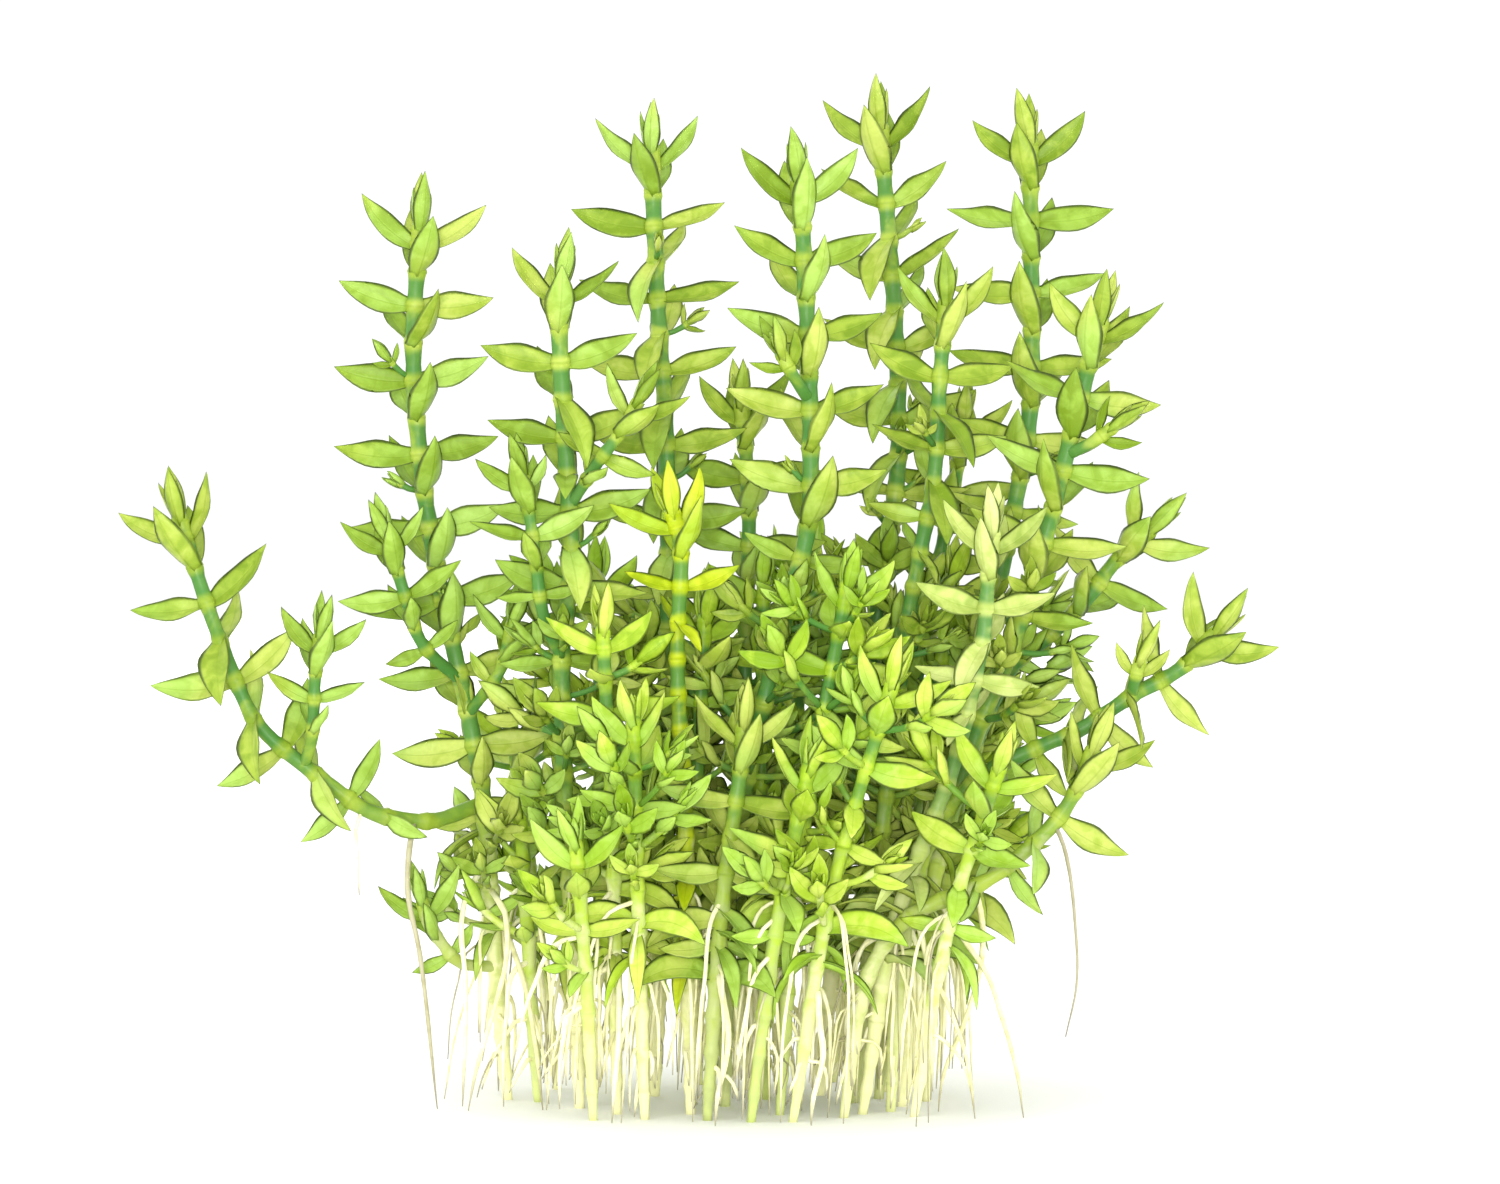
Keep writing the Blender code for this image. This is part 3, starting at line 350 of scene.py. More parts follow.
# The leaves of a crown, and the tuft of small ones round its bud. A pair of the tuft has its faces, its
# length as a share of a full leaf, and the rises of its inner and outer halves.
CROWN_SLIMNESS = (0.76, 0.90)
CROWN_TILT = 0.20
CROWN_MIDDLE_TILT = 0.35
TUFT_PAIRS = (((1, 3), 0.46, (74, 84)), ((0, 2), 0.34, (80, 88)))
TUFT_LENGTH_JITTER = (0.85, 1.1)
TUFT_SPREAD = 0.18
TUFT_FOOT = 0.5
TUFT_TURN = 12
TUFT_ROLL = 20

# Where leaves lie on their palette
FRONT_TINT = 0.62
SIDE_TINT = 0.48
# Painted light: leaves below the top of the mass are painted lighter on their palette, a painted fill that
# lifts the shade among them
MASS_PAINTED_LIGHT = 0.36
MASS_TOP = 70.0
TINT_SPREAD = 0.24
SPRIG_LEANS = (-0.30, 0.30)
CROWN_TINT = 0.8
SPRIG_CROWN_TINT = 0.6
HANGING_TINTS = (0.4, 1.0)

# Blades: rows are shares of the length, and columns are shares of half the width
BLADE_ROWS = (0.0, 0.05, 0.12, 0.20, 0.29, 0.38, 0.48, 0.58, 0.68, 0.78, 0.87, 0.945)
BLADE_COLUMNS = (-1.0, -0.68, -0.34, 0.0, 0.34, 0.68, 1.0)
SMALL_BLADE = 8.6
SMALL_BLADE_ROWS = (0.0, 0.12, 0.28, 0.46, 0.66, 0.86)
SMALL_BLADE_COLUMNS = (-1.0, -0.6, 0.0, 0.6, 1.0)
BLADE_FOOT_SHARE = 0.5
BLADE_SINK = 0.5
BLADE_CUP = 0.34
BLADE_CUP_JITTER = (0.6, 1.2)
BLADE_CUP_POWER = 1.6
BLADE_GROOVE = 0.16
BLADE_RIB = 0.16
RIB_SHARE = 1 / 3
BLADE_THICK = 0.30
BLADE_MARGIN_THICK = 0.10
BLADE_TIP_THINNING = 0.6
BLADE_WAVE = 0.10
BLADE_WAVES = 9
BLADE_TWIST = 16
RISE_POWER = 0.85
FALL_POWER = 1.75
FALL_SLIMMING = 0.10

# Dressed stems
STEM_SIDES = 12
SPRIG_SIDES = 8
STEM_SQUARENESS = 3.0
STEM_ROW_GAP = 1.5
NODE_ROWS = (-0.5, 0.0, 0.5)
NODE_SWELL = 0.24
NODE_REACH = 0.9
STEM_WANDER = 0.05
BUD_TIP = 0.12
LOWEST_SWELLING = 3.0

# Dressed roots
ROOT_SIDES = 7
ROOT_ROW_GAP = 1.6
FEWEST_ROWS = 4
ROOT_SINK = 0.4
ROOT_WANDER = 0.5
ROOT_BENDS = 7
ROOT_UNEVENNESS = 0.10
ROOT_LIFT = 0.02
HAIR_FROM = 0.8
HAIR_WIDTH = 0.16

# Fine roots: each bend is at a share of the root's reach, of its drift to one side and of its drop
FINE_ROOTS_PER_STEM = 10
FINE_ROOT_HEIGHTS = (6.0, 36.0)
FINE_ROOT_ENDS = (0.0, 11.0)
FINE_ROOT_DROP = 5.0
FINE_ROOT_WIDTHS = (0.28, 1.0)
FINE_ROOT_TAPER = 0.6
FINE_ROOT_REACH = (2.0, 9.0)
FOOT_REACH_SHARE = 0.35
FULL_REACH_RISE = 40
FINE_ROOT_DRIFT = (-2.5, 1.0)
FINE_ROOT_BENDS = ((0.55, 0.0, 0.12), (0.9, 0.5, 0.55), (1.0, 1.0, 1.0))
FINE_ROOT_SAMPLE_STEP = 1.5
CLUMP_MIDDLE = (5.0, -1.0)

# Palettes, from deep to light
PALETTES = {
    "leaf_green": ((0.175, 0.28, 0.016), (0.315, 0.42, 0.044), (0.46, 0.54, 0.105)),
    # The bushy stems' green in the mass, painted lighter than leaf_green as painted light that lifts the
    # shade deep among the leaves
    "deep_green": ((0.22, 0.37, 0.012), (0.39, 0.55, 0.036), (0.56, 0.67, 0.11)),
    "yellow_green": ((0.25, 0.35, 0.0), (0.42, 0.52, 0.008), (0.56, 0.63, 0.03)),
    "pale_green": ((0.28, 0.38, 0.065), (0.46, 0.55, 0.14), (0.60, 0.67, 0.24)),
}
TEAL = (0.036, 0.18, 0.034)
FRESH = (0.22, 0.54, 0.09)
INK = (0.085, 0.13, 0.022)
STEM_FOOT = (0.84, 0.83, 0.46)
ROOT_CREAMS = ((0.55, 0.52, 0.22), (0.80, 0.77, 0.42), (0.92, 0.90, 0.64))
ROOT_GREY = (0.22, 0.20, 0.15)

# Finishes, with heights, depths and scales for metres
SHEEN = 0.22
LEAF_ROUGHNESS = 0.46
STEM_ROUGHNESS = 0.42
ROOT_ROUGHNESS = 0.6
BUMP_DEPTH = 0.0002
LEAF_BUMP = 0.35
STEM_BUMP = 0.3
ROOT_BUMP = 0.4
RIB_BUMP = 2.0
MOTTLE = 300
FRESH_PATCHES = 38
GRAIN = 1500
END_PATCHES = 120
INK_GAPS = 160
TEAL_PATCHES = 130
ROOT_MOTTLE = 500
LEAF_SWIRL = 0.8
STEM_SWIRL = 0.4
TEAL_SWIRL = 0.6
STEM_OWN_TINT = 0.3
ROOT_OWN_TINT = 0.5
ROOT_MIDDLE = 0.35

# Spans: where a noise, a shade or a height in metres begins and ends to count, and what it then comes to
MOTTLED_LEAF = (0.3, 0.7, -0.30, 0.30)
MOTTLED = (0.3, 0.7, 0.0, 0.5)
FRESH_SPAN = (0.46, 0.58, 0.0, 0.42)
GRAIN_SPAN = (0.35, 0.65, 0.0, 0.10)
RIB_SPAN = (0.0, 0.10, 0.30, 0.0)
MARGIN_SPAN = (0.55, 1.0, 0.0, 0.28)
BASE_SPAN = (0.0, 0.25, 0.30, 0.0)
TIP_SPAN = (0.72, 1.0, 0.0, 0.45)
END_PATCH_SPAN = (0.4, 0.6, 0.0, 1.0)
INK_SPAN = (0.78, 0.91, 0.0, 1.0)
INK_GAP_SPAN = (0.35, 0.6, 0.50, 1.0)
TEAL_SPAN = (0.12, 0.60, 0.0, 1.0)
TEAL_HEIGHT_SPAN = (0.034, 0.060, 0.0, 0.85)
TEAL_PATCH_SPAN = (0.34, 0.50, 0.25, 1.0)
NODE_SPAN = (0.0, 0.12, 0.35, 0.0)
UNEVEN_SPAN = (0.3, 0.7, -0.012, 0.012)
PALE_HEIGHT_SPAN = (0.006, 0.046, 1.0, 0.0)
PALE_OWN_SPAN = (0.05, 0.75, 0.35, 1.0)
THIN_GREY_SPAN = (0.10, 0.30, 0.75, 0.0)
TIP_GREY_SPAN = (0.75, 1.0, 0.0, 0.8)

# Paper, light and camera, in metres, watts and degrees, and the sensor in millimetres
PAPER_WHITE = 0.93
PAPER_ROUGHNESS = 0.9
PAPER_SHEEN = 0.1
WORLD_STRENGTH = 1.1
FLOOR_RADIUS = 9.0
FLOOR_SIDES = 64
VIEW_CENTRE = (0.0084, 0.0, 0.0813)
VIEW_DISTANCE = 0.8
VIEW_RISE = 2.0
FRAME_WIDTH = 0.24
SENSOR = 36.0
NEAREST = 0.01
Light = namedtuple("Light", "name place size power colour", defaults=((1.0, 1.0, 1.0),))
LIGHTS = (
    Light("key", (-0.9, -1.2, 1.5), 1.2, 8.0, (1.0, 0.99, 0.96)),
    Light("front", (0.01, -1.2, 0.13), 0.3, 10.9),
    Light("back", (-0.5, 1.6, 0.7), 1.2, 8.0),
    Light("right", (1.5, -0.4, 0.5), 1.0, 7.0),
    Light("left", (-1.5, 0.1, 0.4), 1.0, 4.0),
)

Leaf = namedtuple("Leaf", "face spine width foot normal across")
Pair = namedtuple("Pair", "distance leaves")


def catmull_rom(points, step):
    """A smooth curve through the points, as samples about this far apart."""
    route = [Vector(p) for p in points]
    route = [2 * route[0] - route[1]] + route + [2 * route[-1] - route[-2]]
    samples = []
    for before, start, end, after in zip(route, route[1:], route[2:], route[3:]):
        count = max(2, round((end - start).length / step))
        for i in range(count):
            t = i / count
            samples.append(0.5 * (2 * start + (end - before) * t
                                  + (2 * before - 5 * start + 4 * end - after) * t ** 2
                                  + (3 * start - before - 3 * end + after) * t ** 3))
    return samples + [route[-2]]


class Course:
    """A stem's middle line, read by the distance from its foot."""

    def __init__(self, points):
        self.points = points
        self.marks = [0.0]
        for a, b in zip(points, points[1:]):
            self.marks.append(self.marks[-1] + (b - a).length)
        self.length = self.marks[-1]

    def at(self, distance):
        distance = min(max(distance, 0.0), self.length)
        i = min(int(np.searchsorted(self.marks, distance, side="right")) - 1, len(self.points) - 2)
        share = (distance - self.marks[i]) / (self.marks[i + 1] - self.marks[i])
        return self.points[i].lerp(self.points[i + 1], share)

    def along(self, distance):
        return (self.at(distance + TANGENT_REACH) - self.at(distance - TANGENT_REACH)).normalized()


def grow_apart(pieces):
    """Every piece's samples, moved mostly front to back where two stems or roots would touch."""
    lines = {p.name: np.array(catmull_rom(p.route, SAMPLE_STEP)) for p in pieces}
    reach = {p.name: p.kind.stem * HALF_DIAGONAL for p in pieces}
    for _ in range(GROW_APART_ROUNDS):
        pushes = {name: np.zeros_like(line) for name, line in lines.items()}
        for i, one in enumerate(pieces):
            for other in pieces[i + 1:]:
                push_pair(lines, pushes, reach, one, other)
        for name, push in pushes.items():
            for _ in range(SMOOTHINGS):
                push[1:-1] = (push[:-2] + 2 * push[1:-1] + push[2:]) / 4
            lines[name] += push
        for piece in pieces:
            if piece.parent:
                follow_parent(lines, piece)
    return {name: [Vector(p) for p in line] for name, line in lines.items()}


def push_pair(lines, pushes, reach, one, other):
    """Adds to the pushes of two pieces where they come too near each other."""
    a, b = lines[one.name], lines[other.name]
    need = reach[one.name] + reach[other.name] + STEM_CLEARANCE
    if (a.min(0) - need > b.max(0)).any() or (b.min(0) - need > a.max(0)).any():
        return
    gap = a[:, None, :] - b[None, :, :]
    far = np.linalg.norm(gap, axis=2)
    if one.name == other.parent:
        far[:, np.linalg.norm(b - b[0], axis=1) < JOINT_REACH] = need
    if other.name == one.parent:
        far[np.linalg.norm(a - a[0], axis=1) < JOINT_REACH, :] = need
    for i, j in zip(*np.nonzero(far < need)):
        way = gap[i, j] * PUSH_WAYS
        if np.linalg.norm(way) < TOUCHING:
            way = np.array((0.0, 1.0, 0.0))
        way *= 0.5 * (need - far[i, j]) / np.linalg.norm(way)
        pushes[one.name][i] += way
        pushes[other.name][j] -= way


def follow_parent(lines, piece):
    """Keeps the foot of a side shoot or a root on the stem that bears it."""
    line, parent = lines[piece.name], lines[piece.parent]
    nearest = parent[np.argmin(np.linalg.norm(parent - line[0], axis=1))]
    fade = np.clip(1 - np.linalg.norm(line - line[0], axis=1) / JOINT_REACH, 0, 1)
    line += fade[:, None] * (nearest - line[0])


def ring_axes(along, turn):
    """The directions across a stem and to its front, twisted by turn about the stem."""
    across = Vector((0, 1, 0)).cross(along).normalized()
    twist = Matrix.Rotation(math.radians(turn), 3, along)
    return twist @ across, twist @ across.cross(along)


def out_of(axes, face):
    """The direction out of one of a stem's four faces: the front, the right, the back and the left."""
    across, front = axes
    return (front, across, -front, -across)[face]


def ring(centre, along, turn, width):
    """A square ring's four corners."""
    across, front = ring_axes(along, turn)
    half = width / 2
    return [centre + half * (x * across + y * front) for x, y in ((-1, 1), (1, 1), (1, -1), (-1, -1))]


def thickness(piece, course, distance):
    """A stem's or a root's thickness: less towards its tip, and less at the foot of a rooted stem."""
    thin = piece.thin if isinstance(piece, Root) else piece.kind.stem * TIP_TAPER
    width = piece.kind.stem + (thin - piece.kind.stem) * distance / course.length
    if piece.parent:
        return width
    return width * (FOOT_TAPER + (1 - FOOT_TAPER) * min(1.0, distance / FOOT_REACH))


def leaf_turn(shoot, face, k, draw):
    """How far a leaf's pair turns about the stem, so that a front leaf and the one behind it both show."""
    if shoot.kind == BUSHY:
        return draw.uniform(-BUSHY_TURN, BUSHY_TURN)
    if face in (1, 3):
        return 0.0
    side = -1 if shoot.name in FRONT_LEFT else 1
    return side * draw.uniform(*FRONT_TURNS) * (TOP_TURN_SHARE if k == 0 else 1)


def pair_distances(shoot, course):
    """Each pair's distance from the foot, from the crown down."""
    distance = course.length
    found = []
    for k in range(shoot.pairs):
        distance -= shoot.kind.gap * (CROWN_GAPS[k] if k < len(CROWN_GAPS) else 1)
        if distance < LOWEST_PAIR:
            break
        found.append(distance)
    return found


def leaf_rises(shoot, face, k, count):
    """How far the inner and outer halves of a leaf rise above square to the stem."""
    crown = BUSHY_CROWN_RISES if shoot.kind == BUSHY else CROWN_RISES
    if k < len(crown):
        return tuple(crown[k] + bend for bend in CROWN_BEND)
    if face == 0:
        return tuple(shoot.front * bend for bend in FRONT_BEND)
    if face == 2:
        rise = BUSHY_BACK_RISE if shoot.kind == BUSHY else BACK_RISE
        return tuple(rise + bend for bend in BACK_BEND)
    share = (k - len(CROWN_RISES)) / max(1, count - len(CROWN_RISES))
    rise = shoot.upper + (shoot.lower - shoot.upper) * share
    return rise - UPTURN / 2, rise + UPTURN / 2


def make_leaf(face, base, axes, along, rises, length, foot, turn, roll):
    """A leaf as the points of its spine: where it leaves the stem, where it is widest, and its tip.

    A side leaf's blade rolls about its spine, to show its upper side to the viewer or, at the back, to
    the rear.
    """
    out = Matrix.Rotation(math.radians(turn), 3, along) @ out_of(axes, face)
    inner, outer = (math.radians(r) for r in rises)
    middle = base + length * WIDEST_AT * (math.cos(inner) * out + math.sin(inner) * along)
    tip = middle + length * (1 - WIDEST_AT) * (math.cos(outer) * out + math.sin(outer) * along)
    spine = (tip - base).normalized()
    normal = (along - along.dot(spine) * spine).normalized()
    if face in (1, 3):
        front = axes[1]
        shown = (front - front.dot(spine) * spine).normalized()
        normal = (math.cos(math.radians(roll)) * normal + math.sin(math.radians(roll)) * shown).normalized()
    width = length * (SIDE_WIDTH_SHARE if face in (1, 3) else FRONT_WIDTH_SHARE)
    return Leaf(face, (base, middle, tip), width, foot, normal, normal.cross(spine))


def leaf_body(leaf, grown):
    """A closed body round a leaf, larger than it by this much, to test what it would cut through."""
    base, middle, tip = leaf.spine
    foot = (leaf.foot / 2 + grown) * leaf.across
    thick = (LEAF_BASE_HEIGHT / 2 + grown) * leaf.normal
    half = (leaf.width / 2 + grown) * leaf.across
    points = [base - foot + thick, base + foot + thick, base + foot - thick, base - foot - thick,
              middle - half, middle + grown * leaf.normal,
              middle + half, middle - (LEAF_KEEL + grown) * leaf.normal,
              tip + (tip - middle).normalized() * grown]
    faces = [(0, 4, 5), (0, 5, 1), (1, 5, 6), (1, 6, 2), (2, 6, 7), (2, 7, 3), (3, 7, 4), (3, 4, 0)]
    return points, faces + [(4 + i, 8, 4 + (i + 1) % 4) for i in range(4)]


class Crowd:
    """Everything grown so far, to ask whether a new body would cut into it."""

    def __init__(self):
        self.low, self.high = np.zeros((0, 3)), np.zeros((0, 3))
        self.trees, self.tags = [], []

    def add(self, points, faces, tag):
        corners = np.array(points)
        self.low = np.vstack((self.low, corners.min(0)))
        self.high = np.vstack((self.high, corners.max(0)))
        self.trees.append(BVHTree.FromPolygons(points, faces))
        self.tags.append(tag)

    def has_room(self, points, faces, own, pair):
        """Whether a body clears the surface and all but its own stem and the other leaf of its pair."""
        corners = np.array(points)
        low, high = corners.min(0), corners.max(0)
        if low[2] <= CLEARANCE:
            return False
        tree = BVHTree.FromPolygons(points, faces)
        for i in np.nonzero((self.low <= high).all(axis=1) & (self.high >= low).all(axis=1))[0]:
            name, number = self.tags[i]
            related = name == own and number in (None, pair)
            if not related and tree.overlap(self.trees[i]):
                return False
        return True


def first_with_room(leaves, clearance, crowd, tag):
    """The first of the leaves that clears the crowd by this much, which it then joins, or None."""
    for leaf in leaves:
        if crowd.has_room(*leaf_body(leaf, clearance), *tag):
            crowd.add(*leaf_body(leaf, 0.0), tag)
            return leaf
    return None


def tube_faces(rings):
    return [(r * 4 + i, r * 4 + (i + 1) % 4, r * 4 + 4 + (i + 1) % 4, r * 4 + 4 + i)
            for r in range(rings - 1) for i in range(4)]


def tube(piece, course, start):
    """The points and faces of a bare stem or root, closed at both ends."""
    count = max(2, round((course.length - start) / RING_GAP))
    points = []
    for i in range(count + 1):
        distance = start + (course.length - start) * i / count
        centre = course.at(distance)
        along = course.along(distance)
        if centre.z < FLOOR_REACH:
            centre.z = 0.0
            along = Vector((0, 0, math.copysign(1, along.z)))
        points += ring(centre, along, piece.turn, thickness(piece, course, distance))
    ends = [(3, 2, 1, 0), tuple(count * 4 + i for i in range(4))]
    return points, tube_faces(count + 1) + ends


def fork_start(piece, course, parent, parent_course, parent_start):
    """How far up its course a side shoot or a root has to start to stand clear of its parent."""
    tree = BVHTree.FromPolygons(*tube(parent, parent_course, parent_start))
    start = parent.kind.stem * 0.5 + CLEARANCE
    while start < LONGEST_FORK:
        points = []
        for distance in (start - CLEARANCE, min(start + FORK_TEST_LENGTH, course.length)):
            width = thickness(piece, course, distance) + CLEARANCE
            points += ring(course.at(distance), course.along(distance), piece.turn, width)
        faces = tube_faces(2) + [(3, 2, 1, 0)]
        if not BVHTree.FromPolygons(points, faces).overlap(tree):
            break
        start += FORK_STEP
    return start


def grow_leaves(shoot, course, start, crowd, clearance=CLEARANCE, tries=LEAF_TRIES):
    """The shoot's pairs of leaves from the crown down, each leaf clear of the crowd or left out."""
    draw = random.Random(shoot.name)
    facing = -1 if shoot.route[-1][1] > REAR_FROM and shoot.kind == BUSHY else 1
    distances = [d for d in pair_distances(shoot, course) if d > start + LEAF_BASE_HEIGHT]
    pairs = []
    for k, distance in enumerate(distances):
        along = course.along(distance)
        axes = ring_axes(along, shoot.turn)
        width = thickness(shoot, course, distance)
        share = CROWN_LENGTHS[k] if k < len(CROWN_LENGTHS) else 1.0
        from_foot = len(distances) - 1 - k
        if from_foot < len(FOOT_LENGTHS):
            share = min(share, FOOT_LENGTHS[from_foot])
        leaves = []
        sides = (1, 3) if k % 2 else (0, 2)
        pair_turn = leaf_turn(shoot, sides[0], k, draw)
        for face in sides:
            base = course.at(distance) + out_of(axes, face) * width / 2
            length = shoot.kind.leaf * share * (1 + draw.uniform(-JITTER_LENGTH, JITTER_LENGTH))
            sway = CROWN_JITTER if k < len(CROWN_RISES) else JITTER_RISE
            tilt = draw.uniform(-sway, sway)
            yaw = pair_turn + draw.uniform(-JITTER_TURN, JITTER_TURN)
            roll = facing * (SIDE_ROLL + draw.uniform(-JITTER_ROLL, JITTER_ROLL))
            rises = leaf_rises(shoot, face, k, len(distances))
            tried = (make_leaf(face, base, axes, along, [r + tilt + lift for r in rises], length * shrink,
                               width, yaw + turn, roll) for turn, lift, shrink in tries)
            leaves.append(first_with_room(tried, clearance, crowd, (shoot.name, k)))
        pairs.append(Pair(distance, [leaf for leaf in leaves if leaf]))
    return pairs


def grow_clump():
    """Every piece's course and where on it the piece starts, each shoot's pairs of leaves, and the crowd."""
    pieces = SHOOTS + ROOTS
    by_name = {p.name: p for p in pieces}
    courses = {name: Course(points) for name, points in grow_apart(pieces).items()}
    crowd = Crowd()
    starts = {}
    for piece in pieces:
        starts[piece.name] = 0.0
        if piece.parent:
            starts[piece.name] = fork_start(piece, courses[piece.name], by_name[piece.parent],
                                            courses[piece.parent], starts[piece.parent])
        crowd.add(*tube(piece, courses[piece.name], starts[piece.name]), (piece.name, None))
    pairs = {s.name: grow_leaves(s, courses[s.name], starts[s.name], crowd) for s in SHOOTS}
    return courses, starts, pairs, crowd


# A piece's bodies: the points, the faces, each face's material, and each point's tint on the palette, edge
# (0 at the midrib or the node, and 1 at the margin or between nodes) and run (0 at the base and 1 at the tip)
Skin = namedtuple("Skin", "points faces paints shades")
BLADE_PAINT = 0
STEM_PAINT = 1


def add_part(skin, points, faces, paint, shades):
    """Adds a closed body to a piece."""
    first = len(skin.points)
    skin.points.extend(points)
    skin.faces.extend(tuple(first + i for i in face) for face in faces)
    skin.paints.extend([paint] * len(faces))
    skin.shades.extend(shades)


def blade_outline(t):
    """The blade's width at a share of its length, as a share of its largest: a lance with a drawn-out tip."""
    if t < WIDEST_AT:
        rise = math.sin(math.pi / 2 * t / WIDEST_AT) ** RISE_POWER
        return BLADE_FOOT_SHARE + (1 - BLADE_FOOT_SHARE) * rise
    fall = (t - WIDEST_AT) / (1 - WIDEST_AT)
    return (1 - fall ** FALL_POWER) * (1 - FALL_SLIMMING * fall)


def through_three(spine, t):
    """The point, and the direction, at t of the parabola through a leaf's base, middle and tip."""
    base, middle, tip = (np.array(p) for p in spine)
    m = WIDEST_AT
    point = base * (t - m) * (t - 1) / m + middle * t * (t - 1) / (m * (m - 1)) + tip * t * (t - m) / (1 - m)
    slope = base * (2 * t - m - 1) / m + middle * (2 * t - 1) / (m * (m - 1)) + tip * (2 * t - m) / (1 - m)
    return point, slope / np.linalg.norm(slope)


def add_blade(skin, leaf, tint, draw):
    """A leaf as a thin closed blade: cupped, grooved along its midrib, a little wavy and a little twisted."""
    base, _, tip = (np.array(p) for p in leaf.spine)
    rows, columns = BLADE_ROWS, BLADE_COLUMNS
    if np.linalg.norm(tip - base) < SMALL_BLADE:
        rows, columns = SMALL_BLADE_ROWS, SMALL_BLADE_COLUMNS
    twist = math.radians(draw.uniform(-BLADE_TWIST, BLADE_TWIST))
    phase = draw.uniform(0, math.tau)
    cup = BLADE_CUP * draw.uniform(*BLADE_CUP_JITTER)
    points, shades = [], []
    for t in rows:
        centre, along = through_three(leaf.spine, t)
        if t == 0.0:
            centre = centre - along * BLADE_SINK
        normal = np.array(leaf.normal) - np.dot(leaf.normal, along) * along
        normal /= np.linalg.norm(normal)
        across = np.cross(normal, along)
        turn = twist * t
        across, normal = (math.cos(turn) * across + math.sin(turn) * normal,
                          math.cos(turn) * normal - math.sin(turn) * across)
        half = leaf.width / 2 * blade_outline(t)
        top, under = [], []
        for u in columns:
            rib = max(0.0, 1 - abs(u) / RIB_SHARE)
            lift = cup * half * abs(u) ** BLADE_CUP_POWER - BLADE_GROOVE * (1 - t) * rib
            lift += BLADE_WAVE * abs(u) ** 3 * math.sin(phase + BLADE_WAVES * t + u) * half
            thick = (BLADE_THICK * (1 - abs(u)) + BLADE_MARGIN_THICK) * (1 - BLADE_TIP_THINNING * t)
            thick += BLADE_RIB * rib * (1 - t)
            place = centre + across * half * u + normal * lift
            top.append(place)
            under.append(place - normal * thick)
        points += top + under[-2:0:-1]
        shades += [(tint, abs(u), t) for u in columns + columns[-2:0:-1]]
    points.append(tip)
    shades.append((tint, 1.0, 1.0))
    around = 2 * len(columns) - 2
    faces = [(r * around + i, r * around + (i + 1) % around, (r + 1) * around + (i + 1) % around,
              (r + 1) * around + i) for r in range(len(rows) - 1) for i in range(around)]
    last = (len(rows) - 1) * around
    faces += [(last + i, last + (i + 1) % around, len(points) - 1) for i in range(around)]
    faces.append(tuple(reversed(range(around))))
    add_part(skin, points, faces, BLADE_PAINT, shades)


def add_stem(skin, shoot, course, start, nodes, tint, bud, sides):
    """A stem with rounded corners that swells at its nodes, and closes in a bud or a flat cut at each end."""
    length = course.length + bud
    count = max(3, round((length - start) / STEM_ROW_GAP))
    rows = {start + (length - start) * i / count for i in range(count + 1)}
    rows |= {node + step for node in nodes for step in NODE_ROWS if start < node + step < length}
    draw = random.Random("stem " + shoot.name)
    points, shades = [], []
    for distance in sorted(rows):
        centre = course.at(distance) + course.along(distance) * max(0.0, distance - course.length)
        along = course.along(min(distance, course.length))
        if centre.z < FLOOR_REACH and not shoot.parent:
            centre.z = 0.0
            along = Vector((0, 0, 1))
        near = min((abs(distance - node) for node in nodes), default=math.inf)
        half = thickness(shoot, course, min(distance, course.length)) / 2
        half *= 1 + NODE_SWELL * math.exp(-(near / NODE_REACH) ** 2) + draw.uniform(-STEM_WANDER, STEM_WANDER)
        half *= max(BUD_TIP, min(1.0, (length - distance) / bud))
        across, front = ring_axes(along, shoot.turn)
        for i in range(sides):
            angle = math.tau * i / sides
            x, y = math.cos(angle), math.sin(angle)
            reach = half * (abs(x) ** STEM_SQUARENESS + abs(y) ** STEM_SQUARENESS) ** (-1 / STEM_SQUARENESS)
            points.append(np.array(centre + reach * (x * across - y * front)))
            shades.append((tint, min(1.0, near / (0.5 * shoot.kind.gap)), distance / length))
    add_part(skin, points, ring_faces(len(rows), sides), STEM_PAINT, shades)


def ring_faces(rows, sides):
    """The faces of a closed body made of rings with this many sides."""
    faces = [(r * sides + i, (r + 1) * sides + i, (r + 1) * sides + (i + 1) % sides,
              r * sides + (i + 1) % sides) for r in range(rows - 1) for i in range(sides)]
    faces.append(tuple(range(sides)))
    faces.append(tuple(reversed(range((rows - 1) * sides, rows * sides))))
    return faces


def add_root(skin, points, wide, thin, tint, draw):
    """A root through the points: round, a little uneven, and drawn out to a hair at its tip."""
    course = Course(points)
    rows = max(FEWEST_ROWS, round(course.length / ROOT_ROW_GAP))
    phase = draw.uniform(0, math.tau)
    skin_points, shades = [], []
    for r in range(rows + 1):
        share = r / rows
        centre = course.at(course.length * share)
        across, front = ring_axes(course.along(course.length * share), 0)
        sway = ROOT_WANDER * math.sin(math.pi * min(1.0, 2 * share)) * math.sin(phase + ROOT_BENDS * share)
        centre = centre + sway * (across * math.cos(phase) + front * math.sin(phase))
        half = (wide + (thin - wide) * min(1.0, share / HAIR_FROM)) / 2
        half += (HAIR_WIDTH / 2 - half) * max(0.0, (share - HAIR_FROM) / (1 - HAIR_FROM))
        half *= 1 + draw.uniform(-ROOT_UNEVENNESS, ROOT_UNEVENNESS)
        centre.z = max(centre.z, half + ROOT_LIFT)
        for i in range(ROOT_SIDES):
            angle = math.tau * i / ROOT_SIDES
            skin_points.append(np.array(centre + half * (math.cos(angle) * across - math.sin(angle) * front)))
            shades.append((tint, 0.0, share))
    add_part(skin, skin_points, ring_faces(rows + 1, ROOT_SIDES), 0, shades)


